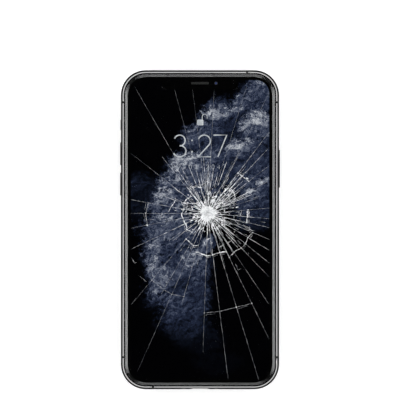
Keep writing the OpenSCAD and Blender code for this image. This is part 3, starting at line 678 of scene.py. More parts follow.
def flake(centre, size):
    corners = crack_chance.randint(3, 5)
    turn = crack_chance.uniform(0, 6.28)
    outline = []
    for k in range(corners):
        angle = turn + 2 * math.pi * k / corners + crack_chance.uniform(-0.35, 0.35)
        reach = size * crack_chance.uniform(0.5, 1.0)
        outline.append(centre + reach * Vector((math.cos(angle), math.sin(angle))))
    top = z_front - 0.06
    foot = [centre.lerp(p, 0.6) for p in outline]
    flakes.loft([[(*p, top - 0.12) for p in foot], [(*p, top) for p in outline]])


for radius, first, last, bold in ARCS:
    for i in range(first, last + 1):
        if crack_chance.random() < 0.85:
            flake(ray_point(i, radius), crack_chance.uniform(0.3, 0.6) * bold ** 0.5)
loose_flakes = 170
for _ in range(loose_flakes):
    turn = crack_chance.uniform(0, 2 * math.pi)
    away = 4.2 + crack_chance.expovariate(1 / 5.0)
    if away < min(26, to_border(turn)):
        spot = impact + away * Vector((math.cos(turn), math.sin(turn)))
        flake(spot, crack_chance.uniform(0.12, 0.42) * math.exp(-away / 40))
# Larger pieces torn out around the blow: place and size
CHUNKS = [
    (5.8, 13.5, 0.8), (8.4, 11.2, 0.7), (10.3, 12.0, 0.9), (11.3, 18.4, 0.8), (13.6, 17.6, 0.9),
    (12.6, 15.8, 0.6), (4.3, 16.3, 0.6), (3.8, 14.2, 0.5), (-6.8, 12.0, 0.7), (-2.5, 6.9, 0.6),
    (-3.3, 19.2, 0.6), (0.3, 19.2, 0.5), (8.6, 1.8, 0.6), (10.2, 2.6, 0.5), (6.4, 0.6, 0.5),
    (1.4, 0.9, 0.4), (18.3, 24.6, 0.7), (21.2, 23.2, 0.6), (-8.2, 9.2, 0.5), (0.4, 12.6, 0.5),
]
for x, y, size in CHUNKS:
    flake(Vector((x, y)), size)
    flake(Vector((x + size * 0.8, y - size * 0.5)), size * 0.6)


def frosted(name, level):
    made = Finish(name)
    grain = made.noise(5.0, 5.0, 0.7)
    # Around the blow the powder lies in streaks that point away from it
    x, y = made.axis("X") - impact.x, made.axis("Y") - impact.y
    turn = y.maths("ARCTAN2", y, x)
    round_it = made.node("ShaderNodeCombineXYZ", None, {0: turn * 7.0, 1: turn * 3.0})
    streaks = made.noise(1.0, 3.0, place=round_it)
    lumps = made.noise(1.5, 3.0, 0.6).step(0.36, 0.56)
    shade = grain.step(0.38, 0.58, 0.0, 0.45) + streaks.step(0.4, 0.58, 0.0, 0.2) + lumps * 0.4
    # Towards the middle of the blow, in its pit, the powder is painted greyer
    pit = made.away(*impact).step(0.8, 2.8, 0.78, 1.0)
    dull = tone(level - 105, level - 102, level - 96)
    colour = made.blend(shade.least(1.0) * pit, dull, tone(level))
    relief = made.relief(grain, 0.03, 0.8)
    rough = grain.step(0.2, 0.8, 0.35, 0.75)
    return made.coat(Base_Color=colour, Roughness=rough, Normal=relief)


frosted_finish = frosted("crushed_glass", 251)
flakes.piece("corner_flakes", frosted_finish, slot="cover_glass")


# ---------------------------------------------------------------- crushed spot
# Right under the blow the glass is powder and crumbs: a white star-shaped bed with spikes
# along the cracks, and loose grains lying in the crater.
def star_bed(points=84, rings=9):
    stock = Stock()
    chance = random.Random(3)
    lobes = [
        0.1 * math.sin(3 * j * math.tau / points + 1) + 0.07 * math.sin(7 * j * math.tau / points)
        for j in range(points)
    ]
    spikes = [0.9 + lobe + chance.uniform(-0.1, 0.1) for lobe in lobes]
    for j in range(0, points, 3):
        spikes[j] += chance.uniform(0.1, 0.6)
    top_rings, low_rings = [], []
    for k in range(1, rings + 1):
        share = k / rings
        top, low = [], []
        for j in range(points):
            angle = 2 * math.pi * j / points
            reach = 3.8 * share * (1 + (spikes[j] - 1) * share ** 3)
            at = impact + reach * Vector((math.cos(angle), math.sin(angle)))
            sink = 0.34 * math.exp(-(reach / 1.5) ** 2) + chance.uniform(0.0, 0.08)
            top.append((*at, z_front - 0.03 - sink - 0.05 * share))
            low.append((*at, z_glass + 0.25))
        top_rings.append(top)
        low_rings.append(low)
    stock.loft(low_rings + top_rings[::-1])
    return stock


star_bed().piece("crushed_bed", frosted_finish, slot="cover_glass")


class Growth:
    """A geometry tree, written as calls. Its inputs are named, and set when it is grown."""

    def __init__(self, name, numbers, counts=()):
        self.tree = bpy.data.node_groups.new(name, "GeometryNodeTree")
        for names, kind in ((numbers, "Float"), (counts, "Int"), (("Geometry",), "Geometry")):
            flow = "OUTPUT" if kind == "Geometry" else "INPUT"
            for key in names:
                self.tree.interface.new_socket(key, in_out=flow, socket_type="NodeSocket" + kind)
        self.given = self.tree.nodes.new("NodeGroupInput").outputs

    def node(self, kind, sockets=None, output=0, **settings):
        made = self.tree.nodes.new(kind)
        for key, value in settings.items():
            setattr(made, key, value)
        for key, value in (sockets or {}).items():
            if isinstance(value, bpy.types.NodeSocket):
                self.tree.links.new(value, made.inputs[key])
            else:
                made.inputs[key].default_value = value
        return made.outputs[output]

    def maths(self, operation, one, two):
        return self.node("ShaderNodeMath", {0: one, 1: two}, operation=operation)

    def chance(self, low, high, **more):
        sockets = {0: low, 1: high, **more}
        return self.node("FunctionNodeRandomValue", sockets, data_type="FLOAT_VECTOR")

    def strewn(self, points, instance, **more):
        sockets = {"Points": points, "Instance": instance, **more}
        laid = self.node("GeometryNodeInstanceOnPoints", sockets)
        return self.node("GeometryNodeRealizeInstances", {0: laid})

    def finish(self, geometry, material):
        sockets = {"Geometry": geometry, "Material": material}
        painted = self.node("GeometryNodeSetMaterial", sockets)
        result = self.tree.nodes.new("NodeGroupOutput")
        self.tree.links.new(painted, result.inputs["Geometry"])
        return self.tree


def crumb_tree(material):
    """Grains strewn evenly over a disc, larger ones towards its middle."""
    made = Growth("crumbs", ("Radius", "Grain", "Count per m2"), ("Seed",))
    given = made.given
    disc = made.node(
        "GeometryNodeMeshCircle", {"Radius": given["Radius"]}, fill_type="TRIANGLE_FAN"
    )
    points = made.node(
        "GeometryNodeDistributePointsOnFaces",
        {"Mesh": disc, "Density": given["Count per m2"], "Seed": given["Seed"]},
    )
    grain = made.node("GeometryNodeMeshIcoSphere", {"Subdivisions": 1, "Radius": given["Grain"]})
    # Distance from the middle, as a share of the radius
    at = made.node("GeometryNodeInputPosition")
    far = made.node("ShaderNodeVectorMath", {0: at}, "Value", operation="LENGTH")
    share = made.maths("DIVIDE", far, given["Radius"])
    shrink = made.node(
        "ShaderNodeMapRange", {"Value": share, "From Max": 1.0, "To Min": 1.0, "To Max": 0.25}
    )
    size = made.chance((0.35, 0.3, 0.2), (1.3, 1.0, 0.6), Seed=given["Seed"])
    scaled = made.node("ShaderNodeVectorMath", {0: size, "Scale": shrink}, operation="SCALE")
    turn = made.chance((0.0, 0.0, 0.0), (6.28, 6.28, 6.28))
    return made.finish(made.strewn(points, grain, Scale=scaled, Rotation=turn), material)


def grown(name, tree, values, place, body="phone", replaces=()):
    """Runs a geometry tree once and keeps its result as a plain mesh, moved to its place."""
    holder = new_object(name + "_start", bpy.data.meshes.new(name + "_start"))
    modifier = holder.modifiers.new("grow", "NODES")
    modifier.node_group = tree
    for item in tree.interface.items_tree:
        if item.in_out == "INPUT" and item.name in values:
            modifier[item.identifier] = values[item.name]
    mesh = settled(holder)
    mesh.transform(Matrix.Translation(Vector(place) * mm))
    return placed(name, mesh, body, replaces)


grown(
    "crushed_crumbs", crumb_tree(frosted_finish),
    {"Radius": 4.0 * mm, "Grain": 0.3 * mm, "Count per m2": 1.1e7, "Seed": 4},
    (*impact, z_front - 0.36),
)


# ---------------------------------------------------------------- lit display
# The panel glows through the glass with a picture of drifting smoke on black. Its thin
# adhesive is clear, and a black print under the glass frames the lit area and the notch.
# Puffs of smoke, from back to front: place, half sizes, level of the lit rim and of the body
PUFFS = [
    (-27, 15, 11, 10, 0.10, 0.07), (18, 42, 19, 15, 0.17, 0.11), (24, 6, 11, 7, 0.13, 0.10),
    (25, 24, 13, 13, 0.32, 0.22), (29, 61, 11, 9, 0.42, 0.28), (22, 57, 9, 6, 0.34, 0.22),
    (9, 56, 6, 4, 0.30, 0.14), (14, 50, 12, 7, 0.66, 0.13), (27, 46, 8, 7, 0.74, 0.30),
    (21, 33, 11, 8, 0.68, 0.22), (2, 40, 10, 9, 0.44, 0.20), (10, 28, 13, 9, 0.34, 0.20),
    (25, 11, 11, 7, 0.30, 0.18), (-3, 27, 11, 8, 0.62, 0.30), (-10, 20, 10, 7, 0.58, 0.24),
    (2, 14, 12, 9, 0.30, 0.18), (-15, 11, 9, 8, 0.58, 0.28), (-12, 0, 13.5, 9, 0.42, 0.28),
    (-16.5, -11, 10, 9, 0.46, 0.28), (24, 15, 4.2, 3.4, 0.72, 0.28), (29, 20, 3.4, 2.6, 0.66, 0.24),
    (-9, -14, 14, 13, 0.26, 0.17), (-10, -28, 14, 12, 0.42, 0.25), (-3, -30, 9, 12, 0.28, 0.2),
    (-9, -25, 6, 4, 0.18, 0.13), (-7, -42, 12, 7, 0.26, 0.16), (-1, -16, 6.5, 8.5, 0.5, 0.24),
    (3.6, -6, 3.6, 3.2, 0.54, 0.32), (-20, -8.5, 3.6, 2.6, 0.72, 0.44),
    (-19.5, -20, 5, 7, 0.48, 0.32), (1, -50, 10, 6, 0.16, 0.09), (9, -60, 12, 5, 0.08, 0.05),
]


def screen_finish():
    made = Finish("lit_screen")

    def drift(scale, reach, detail, rough):
        sockets = {"Vector": made.place, "Scale": scale, "Detail": detail, "Roughness": rough}
        pushed = made.node("ShaderNodeTexNoise", None, sockets, "Color")
        return made.vector("SCALE", made.vector("SUBTRACT", pushed, (0.5, 0.5, 0.5)), Scale=reach)

    blown = made.vector("ADD", made.place, drift(0.085, 9.0, 2.0, 0.5))
    blown = made.vector("ADD", blown, drift(0.3, 8.0, 10.0, 0.76))
    # Fine noise eats into each puff, so that it ends in shreds and not in a line
    fray = (made.noise(0.6, 12.0, 0.8, blown) - 0.5) * 2.2
    level = None
    for x, y, half_x, half_y, rim, body in PUFFS:
        inside = made.vector("SUBTRACT", blown, (x, y, 0))
        inside = made.vector("MULTIPLY", inside, (1 / half_x, 1 / half_y, 0))
        cover = (made.vector("LENGTH", inside, output="Value") + fray).step(1.2, 0.66)
        facing_light = made.vector("DOT_PRODUCT", inside, (-0.6, 0.8, 0), output="Value")
        lit = facing_light.step(-0.15, 1.0, body, rim)
        level = lit * cover if level is None else level + (lit - level) * cover
    # Fine threads in the smoke, brighter on the side that faces the light
    threads = made.noise(0.45, 9.0, 0.64, blown)
    moved = made.vector("ADD", blown, (-0.5, 0.7, 0))
    relief = (threads - made.noise(0.45, 9.0, 0.64, moved)) * 3.9
    dust = made.noise(2.4, 3.0, 0.7).step(0.3, 0.7, 0.76, 1.24)
    hollows = made.noise(0.17, 3.0, 0.5, blown).step(0.34, 0.62, 0.8, 1.12)
    level = level * dust * hollows * (relief + 0.42 + threads * 1.15)
    # It thins out downwards, and the panel is bruised where the blow fell
    level = level * made.axis("Y").step(-58, -34, 0.25, 1.0)
    level = level * made.away(*impact).step(4.0, 11.0, 0.45, 1.0)
    colour = made.ramp(
        level,
        (0.0, tone(0, 0, 1)), (0.07, tone(9, 13, 22)), (0.22, tone(36, 44, 66)),
        (0.35, tone(67, 75, 96)), (0.5, tone(107, 113, 129)), (0.62, tone(146, 150, 160)),
        (0.85, tone(200, 203, 210)),
    )
    return made.glow(colour)


dress(screen_finish(), "display_panel")


def rounded_box(x, y, r, steps=10):
    """Half sizes x and y, corner radius r, anticlockwise from the right."""
    points = []
    for k, (cx, cy) in enumerate(((x - r, y - r), (r - x, y - r), (r - x, r - y), (x - r, r - y))):
        for step in range(steps + 1):
            turn = math.radians(90 * (k + step / steps))
            points.append(Vector((cx + r * math.cos(turn), cy + r * math.sin(turn))))
    return points


def flat_plate(name, outlines, bottom, top, material, body="phone", replaces=()):
    """A thin plate with holes: the first outline is its edge and the others are holes."""
    curve = bpy.data.curves.new(name, "CURVE")
    curve.dimensions = "2D"
    curve.fill_mode = "BOTH"
    curve.extrude = (top - bottom) / 2
    for outline in outlines:
        spline = curve.splines.new("POLY")
        spline.points.add(len(outline) - 1)
        for point, at in zip(spline.points, outline):
            point.co = (at.x, at.y, 0, 1)
        spline.use_cyclic_u = True
    mesh = settled(new_object(name + "_curve", curve))
    mesh.transform(Matrix.Scale(mm, 4) @ Matrix.Translation((0, 0, (top + bottom) / 2)))
    with reworked(mesh) as edit:
        bmesh.ops.remove_doubles(edit, verts=edit.verts, dist=weld)
        bmesh.ops.recalc_face_normals(edit, faces=edit.faces)
    mesh.materials.clear()
    mesh.materials.append(material)
    return placed(name, mesh, body, replaces)


def lit_outline(corner=6.0, inner=3.0, lip=1.2, steps=8):
    """Edge of the lit area, with the notch cut into its top side."""
    def arc(cx, cy, r, start, end):
        turns = [math.radians(start + (end - start) * k / steps) for k in range(steps + 1)]
        return [Vector((cx + r * math.cos(a), cy + r * math.sin(a))) for a in turns]
    right = arc(lit_x - corner, corner - lit_y, corner, -90, 0)
    right += arc(lit_x - corner, lit_y - corner, corner, 0, 90)
    right += arc(notch_half + lip, lit_y - lip, lip, 90, 180)
    right += arc(notch_half - inner, notch_y + inner, inner, 0, -90)
    return right + [Vector((-p.x, p.y)) for p in reversed(right)]


def black_print():
    made = Finish("black_print")
    speck = made.noise(4.0, 4.0)
    colour = made.blend(speck.step(0.4, 0.7), tone(1), tone(4))
    rough = speck.step(0.3, 0.7, 0.4, 0.6)
    return made.coat(Base_Color=colour, Roughness=rough, Specular_IOR_Level=0.0)


def circle_at(x, y, r, steps=28):
    turns = [2 * math.pi * k / steps for k in range(steps)]
    return [Vector((x + r * math.cos(a), y + r * math.sin(a))) for a in turns]


ear_low, ear_high = [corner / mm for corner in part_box("earpiece_mesh")]
sensor_y = (ear_low.y + ear_high.y) / 2
eye_x = 7.2
ear_hole = [Vector((x, y + sensor_y)) for x, y in stadium(ear_high.x - ear_low.x + 0.1, 1.1)]
ink_finish = black_print()
edge_x, edge_y = glass_high.x - 1.22, glass_high.y - 1.2
flat_plate(
    "border_print",
    [rounded_box(edge_x, edge_y, 8.5), lit_outline(), ear_hole, circle_at(eye_x, sensor_y, 0.75)],
    z_glass - 0.03, z_glass - 0.01, ink_finish,
)
flat_plate(
    "adhesive_film", [rounded_box(lit_x + 0.6, lit_y + 0.6, 6.5)],
    z_glass - 0.075, z_glass - 0.045, clear_glass("clear_adhesive", index=1.02),
    replaces=("optical_adhesive",),
)


# ---------------------------------------------------------------- marks on the screen
# The waking screen shows plain clock digits, a small open padlock and a row of small
# figures. They are part of the picture, so they are thin and lit like it.
marks = Stock()
mark_bottom, mark_top = z_glass - 0.095, z_glass - 0.085


def line(points, width):
    spots = [Vector(p) for p in points]
    count = len(spots)
    wall(marks, spots, [width] * count, mark_top, mark_bottom, [0] * count, [1.0] * count)


def arc_points(cx, cy, rx, ry, start, end, steps=18):
    turns = [math.radians(start + (end - start) * k / steps) for k in range(steps + 1)]
    return [(cx + rx * math.cos(a), cy + ry * math.sin(a)) for a in turns]


def digit(value, x, y, high, width):
    """Thin figure in a box that is 0.62 as wide as it is high, with its foot at y."""
    def at(points):
        return [(x + px * high, y + py * high) for px, py in points]
    shapes = {
        "0": [arc_points(0.31, 0.5, 0.29, 0.5, 0, 360, 32)],
        "2": [[*arc_points(0.31, 0.72, 0.28, 0.28, 160, -32), (0.02, 0.0), (0.62, 0.0)]],
        "3": [
            arc_points(0.29, 0.75, 0.25, 0.25, 160, -90),
            arc_points(0.29, 0.26, 0.29, 0.26, 90, -160),
        ],
        "4": [[(0.46, 0.0), (0.46, 1.0), (0.0, 0.3), (0.64, 0.3)]],
        "7": [[(0.0, 1.0), (0.61, 1.0), (0.2, 0.0)]],
        "-": [[(0.1, 0.45), (0.5, 0.45)]],
    }
    for points in shapes[value]:
        line(at(points), width)


clock_y, clock_high = 32.9, 9.8
for value, x in (("3", -12.0), ("2", -1.1), ("7", 6.1)):
    digit(value, x, clock_y, clock_high, 0.55)
for y in (35.2, 40.3):
    line([(-3.95, y), (-3.25, y)], 0.7)
for k, value in enumerate("27-03-2047"):
    digit(value, -12.6 + 2.55 * k, 27.4, 1.9, 0.15)
# Padlock: body with a shackle that is turned aside
case = [p + Vector((0.1, 48.4)) for p in rounded_box(1.42, 1.3, 0.5, 4)]
marks.loft([[(*p, mark_bottom) for p in case], [(*p, mark_top) for p in case]])
line([(1.0, 49.6), (1.0, 50.9), *arc_points(2.1, 50.9, 1.1, 1.25, 180, 0), (3.2, 50.2)], 0.3)


def lit_mark():
    made = Finish("lit_marks")
    shimmer = made.noise(0.5, 2.0)
    colour = made.blend(shimmer.step(0.35, 0.65), tone(176, 180, 186), tone(206, 210, 214))
    return made.glow(colour)


marks.piece("screen_marks", lit_mark(), slot="display")


# ---------------------------------------------------------------- rim of the display
# A moulded plastic ring carries the glass, and a soft black seal fills the gap between its
# edge and the band. Under the rounded rim the ring shows as a grey line.
def satin_ring():
    made = Finish("carrier_satin")
    x, y = made.axis("X").size(), made.axis("Y").size()
    drawn = made.noise(1.2, 5.0, 0.7, made.stretched(5.0, 0.25, 1.0))
    colour = made.blend(drawn.step(0.3, 0.7), tone(152), tone(166))
    # Painted shade: along the ends the colour is painted a little duller and round the corners
    # painted black, where the side panels' reflected light weakens and fades
    colour = made.blend(y.step(end_y - 3.4, end_y - 2.8), colour, tone(104))
    corner = (x - (side_x - corner_r)).most(0.0).least((y - (end_y - corner_r)).most(0.0))
    colour = made.blend(corner.step(0.5, 4.5), colour, tone(12))
    rough = drawn.step(0.3, 0.7, 0.3, 0.36)
    return made.coat(Base_Color=colour, Metallic=0.8, Roughness=rough)


def ring_round(name, section, material, slot, replaces=()):
    """A closed ring round the phone. The section is (distance in from the outline, level) pairs."""
    stock = Stock()
    loops = []
    for inset, z in section:
        outline = rounded_box(side_x - inset, end_y - inset, corner_r - inset, 16)
        loops.append(stock.ring([(*p, z) for p in outline]))
    for one, two in zip(loops, loops[1:] + loops[:1]):
        stock.skin(one, two)
    return stock.piece(name, material, "phone", slot, replaces, smooth=35)


frame_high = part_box("main_frame")[1] / mm
side_x, end_y, corner_r = frame_high.x, frame_high.y, 11.2
ring_low, ring_high = [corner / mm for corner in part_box("display_frame")]
ring_in = side_x - ring_high.x
ring_round(
    "glass_carrier",
    [
        (ring_in, ring_low.z), (ring_in, ring_high.z - 0.8), (ring_in + 0.06, ring_high.z - 0.7),
        (ring_in + 1.3, ring_high.z - 0.02), (ring_in + 1.44, ring_high.z - 0.02),
        (ring_in + 1.44, ring_low.z),
    ],
    satin_ring(), slots["display_frame"], ("display_frame",),
)
smooth_copy("display_seal", "edge_seal", matt_plastic("seal_rubber", 3, 5.0, 0.8, sheen=0.02))


# ---------------------------------------------------------------- earpiece and front camera
# Woven wire closes the slot over the earpiece. Beside it the front camera looks through a
# round window, a small dark lens with a blue glint painted on its middle.
def weave_tree(material):
    """Two layers of parallel wires at right angles. Their sizes fit the slot."""
    made = Growth("weave", ("Length", "Height", "Pitch", "Wire"))
    given = made.given
    joined = made.tree.nodes.new("GeometryNodeJoinGeometry")

    def layer(along, across, run, spread):
        """Wires that run along one axis, spread over the other."""
        count = made.maths("FLOOR", made.maths("DIVIDE", given[across], given["Pitch"]), 0.0)
        breadth = made.maths("MULTIPLY", made.maths("SUBTRACT", count, 1.0), given["Pitch"])
        half = made.maths("MULTIPLY", breadth, -0.5)
        start = made.node("ShaderNodeCombineXYZ", {spread: half})
        step = made.node("ShaderNodeCombineXYZ", {spread: given["Pitch"]})
        sockets = {"Count": count, "Start Location": start, "Offset": step}
        row = made.node("GeometryNodeMeshLine", sockets, mode="OFFSET")
        sockets = {run: given[along], spread: given["Wire"], "Z": given["Wire"]}
        size = made.node("ShaderNodeCombineXYZ", sockets)
        wire = made.node("GeometryNodeMeshCube", {"Size": size})
        made.tree.links.new(made.strewn(row, wire), joined.inputs["Geometry"])

    layer("Length", "Height", "X", "Y")
    layer("Height", "Length", "Y", "X")
    return made.finish(joined.outputs[0], material)


wire_finish = matt_plastic("mesh_wire", 40, 2.0, 0.45, sheen=0.2)
grown(
    "earpiece_weave", weave_tree(wire_finish),
    {"Length": 8.0 * mm, "Height": 1.0 * mm, "Pitch": 0.2 * mm, "Wire": 0.09 * mm},
    (0, sensor_y, (ear_low.z + ear_high.z) / 2), replaces=("earpiece_mesh",),
)


def turned(name, profile, at, material, slot, body="phone", replaces=(), steps=40, smooth=40):
    """A solid of revolution about a line along Z. The profile is (radius, level) pairs."""
    stock = Stock()
    rings = []
    for r, z in profile:
        turns = [2 * math.pi * k / steps for k in range(steps)]
        rings.append([(at[0] + r * math.cos(a), at[1] + r * math.sin(a), z) for a in turns])
    stock.loft(rings)
    return stock.piece(name, material, body, slot, replaces, smooth)


def dome(base_r, base_z, rise, steps=7):
    """Profile of a lens cap that bulges from base_z by rise, ending near its middle."""
    turns = [math.radians(90 * k / steps) for k in range(steps)]
    return [(base_r * math.cos(a), base_z + rise * math.sin(a)) for a in turns]


def dark_lens():
    """A small lens that shows black, with a painted blue glint on its middle."""
    made = Finish("front_lens_coating")
    # Painted highlight: a blue glint painted into the colour round the lens's middle
    painted_glint = (made.away(eye_x, sensor_y) + (made.noise(3.0, 2.0) - 0.5) * 0.3).step(0.5, 0.15)
    colour = made.blend(painted_glint, tone(2, 3, 6), tone(46, 72, 150))
    return made.coat(Base_Color=colour, Roughness=0.12, Specular_IOR_Level=0.1)


turned(
    "front_lens", [(1.02, z_glass - 0.4), *dome(1.02, z_glass - 0.2, 0.16)], (eye_x, sensor_y),
    dark_lens(), "lens_barrel",
)


# ---------------------------------------------------------------- back of the phone
# A sheet of glass, coated dark grey inside and etched satin outside, with a cut-out for the
# camera bump. The bump is a bead-blasted plate that carries two bright turned rings.
def satin_back():
    made = Finish("back_coating")
    flow = made.noise(0.03, 4.0)
    etch = made.noise(9.0, 3.0)
    smear = made.noise(0.12, 4.0, 0.6, made.stretched(1.0, 0.45, 1.0), 0.8).step(0.52, 0.7)
    colour = made.blend(flow.step(0.3, 0.7), tone(58, 60, 63), tone(66, 68, 71))
    rough = etch.step(0.3, 0.7, 0.27, 0.36) + smear * 0.1
    return made.coat(
        Base_Color=colour, Roughness=rough, Normal=made.relief(etch, 0.003, 0.4),
        Coat_Weight=smear.step(0.0, 1.0, 0.5, 0.25), Coat_Roughness=0.18,
    )


def blasted_metal(name, level, rough=0.42):
    made = Finish(name)
    beads = made.cells(6.0)
    colour = made.blend(made.noise(0.5).step(0.3, 0.7), tone(level - 6), tone(level + 8))
    relief = made.relief(beads, 0.012, 0.5)
    roughness = beads.step(0.0, 0.6, rough - 0.06, rough + 0.08)
    return made.coat(Base_Color=colour, Metallic=0.85, Roughness=roughness, Normal=relief)


def turned_metal(name, level, centres):
    """Bright metal cut on a lathe: fine grooves round the nearer of two centres."""
    made = Finish(name)
    away = made.away(*centres[0]).least(made.away(*centres[1]))
    grooves = away.wave(70.0)
    worn = made.noise(0.9, 5.0)
    colour = made.blend(worn.step(0.3, 0.7), tone(level - 10), tone(level + 12))
    relief = made.relief(grooves, 0.003, 0.5)
    rough = worn.step(0.3, 0.7, 0.16, 0.28)
    return made.coat(Base_Color=colour, Metallic=1.0, Roughness=rough, Normal=relief)


smooth_copy("back_glass", "back_sheet", satin_back())
smooth_copy("camera_bump", "bump_plate", blasted_metal("bump_metal", 72))
window_low, window_high = [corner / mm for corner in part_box("lens_windows")]
lens_x = (window_low.x + window_high.x) / 2
lens_r = (window_high.x - window_low.x) / 2
lens_ys = (window_high.y - lens_r, window_low.y + lens_r)
lens_spots = [(lens_x, y) for y in lens_ys]
smooth_copy("lens_rings", "turned_rings", turned_metal("ring_steel", 132, lens_spots))
smooth_copy("lens_windows", "lens_glass", clear_glass("lens_glass_clear", (0.93, 0.94, 0.97, 1.0)))


# ---------------------------------------------------------------- rear cameras and flash
# Behind each window a black barrel steps down to a domed, coated lens. The flash sits under
# a milky cap with fine rings moulded in it.
barrel_finish = matt_plastic("barrel_black", 22, 6.0, 0.5)


def coated_lens():
    """Both rear lenses: dark in the middle, with the coating's violet reflection painted on towards
    their edge.
    """
    made = Finish("rear_lens_coating")
    away = made.away(*lens_spots[0]).least(made.away(*lens_spots[1]))
    spread = (made.noise(0.8, 3.0) - 0.5) * 0.3
    # Painted reflection: the coating's violet sheen is painted into the colour, growing towards
    # each lens's edge
    colour = made.blend(away.step(0.3, 3.2) + spread, tone(16, 14, 30), tone(120, 70, 150))
    return made.coat(
        Base_Color=colour, Roughness=0.06, Coat_Weight=0.5, Metallic=0.35,
        Specular_IOR_Level=0.5,
    )


lens_finish = coated_lens()
for node, lens_y, glass_r in (("wide_camera", lens_ys[0], 2.3), ("tele_camera", lens_ys[1], 1.7)):
    low, high = [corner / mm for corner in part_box(node)]
    # The barrel is open towards the back: the profile runs up its outside and down its steps
    outer = [(lens_r - 0.15, high.z - 3.0), (lens_r - 0.15, low.z), (lens_r - 0.7, low.z)]
    inner = [(lens_r - 0.9, low.z + 0.5), (3.2, low.z + 0.55), (3.1, low.z + 0.9)]
    inner += [(glass_r + 0.35, low.z + 1.0), (glass_r, low.z + 1.5), (0.05, low.z + 1.5)]
    turned(
        node + "_barrel", [(0.05, high.z - 3.0), *outer, *inner], (lens_x, lens_y), barrel_finish,
        "lens_barrel", replaces=(node,), smooth=30,
    )
    turned(
        node + "_lens", [(glass_r, low.z + 1.48), *dome(glass_r, low.z + 1.4, -0.55)],
        (lens_x, lens_y), lens_finish, "lens_barrel",
    )


def milky_cap():
    made = Finish("flash_cap")
    low, high = [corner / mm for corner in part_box("flash_window")]
    away = made.away((low.x + high.x) / 2, (low.y + high.y) / 2)
    rings = away.wave(22.0)
    colour = made.blend(away.step(0.2, 1.6), tone(240, 226, 170), tone(226, 224, 214))
    relief = made.relief(rings, 0.05, 0.7)
    return made.coat(Base_Color=colour, Roughness=0.25, Normal=relief, Coat_Weight=0.6)


smooth_copy("flash_window", "flash_cap", milky_cap())


# ---------------------------------------------------------------- bottom edge
# The socket is a drawn steel shell with a plastic tongue that carries two rows of gilt
# contacts. On both sides are a small screw and a row of sound holes backed by fine mesh.
def sheet_steel(name, level=168, rough=0.3):
    made = Finish(name)
    rolled = made.noise(1.0, 5.0, 0.6, made.stretched(0.4, 8.0, 0.4))
    colour = made.blend(rolled.step(0.3, 0.7), tone(level - 14), tone(level + 10))
    roughness = rolled.step(0.3, 0.7, rough - 0.08, rough + 0.1)
    relief = made.relief(rolled, 0.004, 0.4)
    return made.coat(Base_Color=colour, Metallic=1.0, Roughness=roughness, Normal=relief)


sheet_finish = sheet_steel("sheet_steel")
screw_finish = sheet_steel("screw_steel", 128, 0.35)
smooth_copy("charge_port", "socket_shell", sheet_finish)
smooth_copy("port_tongue", "socket_tongue", barrel_finish)
smooth_copy("edge_screws", "edge_screw_pair", screw_finish)
smooth_copy("sound_meshes", "sound_mesh_strips", wire_finish)


def contact_tree(material):
    """Rows of flat gilt contacts along the tongue, on its upper and its lower face."""
    made = Growth("contacts", ("Pitch", "Width", "Length", "Rise", "Gap"), ("Count",))
    given = made.given
    gaps = made.maths("SUBTRACT", given["Count"], 1.0)
    reach = made.maths("MULTIPLY", gaps, given["Pitch"])
    sockets = {"Size X": reach, "Size Y": given["Gap"], "Vertices X": given["Count"]}
    grid = made.node("GeometryNodeMeshGrid", {**sockets, "Vertices Y": 2})
    upright = Euler((math.pi / 2, 0, 0))
    stand = made.node("GeometryNodeTransform", {"Geometry": grid, "Rotation": upright})
    sockets = {"X": given["Width"], "Y": given["Length"], "Z": given["Rise"]}
    size = made.node("ShaderNodeCombineXYZ", sockets)
    pad = made.node("GeometryNodeMeshCube", {"Size": size})
    return made.finish(made.strewn(stand, pad), material)


def gilt(name, level=(196, 158, 88)):
    made = Finish(name)
    worn = made.noise(3.0, 4.0)
    colour = made.blend(worn.step(0.35, 0.7), tone(*level), tone(*[c * 0.8 for c in level]))
    rough = worn.step(0.3, 0.7, 0.2, 0.4)
    return made.coat(Base_Color=colour, Metallic=1.0, Roughness=rough)


gilt_finish = gilt("gilt_contacts")
tongue_low, tongue_high = [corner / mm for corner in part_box("port_tongue")]
grown(
    "socket_contacts", contact_tree(gilt_finish),
    {
        "Pitch": 0.5 * mm, "Width": 0.25 * mm, "Length": 3.2 * mm, "Rise": 0.04 * mm,
        "Gap": (tongue_high.z - tongue_low.z) * mm, "Count": 12,
    },
    (0, tongue_low.y + 2.2, (tongue_low.z + tongue_high.z) / 2),
)


# ---------------------------------------------------------------- inner parts
# What the closed phone hides: boards, battery, coil, cans and cables. Each keeps its CAD
# shape and gets the finish of the real material.
def solder_mask():
    made = Finish("solder_mask")
    x, y = made.axis("X"), made.axis("Y")
    tracks = x.wave(2.2) * y.wave(1.9)
    colour = made.blend(tracks.step(0.1, 0.3), tone(12, 58, 40), tone(26, 84, 58))
    relief = made.relief(tracks, 0.02, 0.5)
    return made.coat(Base_Color=colour, Roughness=0.35, Normal=relief)


def amber_film():
    made = Finish("amber_film")
    x = made.axis("X")
    lines = x.wave(18.0)
    colour = made.blend(lines.step(-0.2, 0.4), tone(150, 88, 30), tone(196, 128, 56))
    return made.coat(Base_Color=colour, Roughness=0.3, Normal=made.relief(lines, 0.01))


def wound_copper():
    made = Finish("wound_copper")
    low, high = [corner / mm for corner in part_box("charging_coil")]
    away = made.away((low.x + high.x) / 2, (low.y + high.y) / 2)
    turns = away.wave(9.0)
    colour = made.blend(turns.step(-0.5, 0.5), tone(120, 58, 30), tone(208, 122, 78))
    relief = made.relief(turns, 0.06)
    return made.coat(Base_Color=colour, Metallic=0.9, Roughness=0.3, Normal=relief)


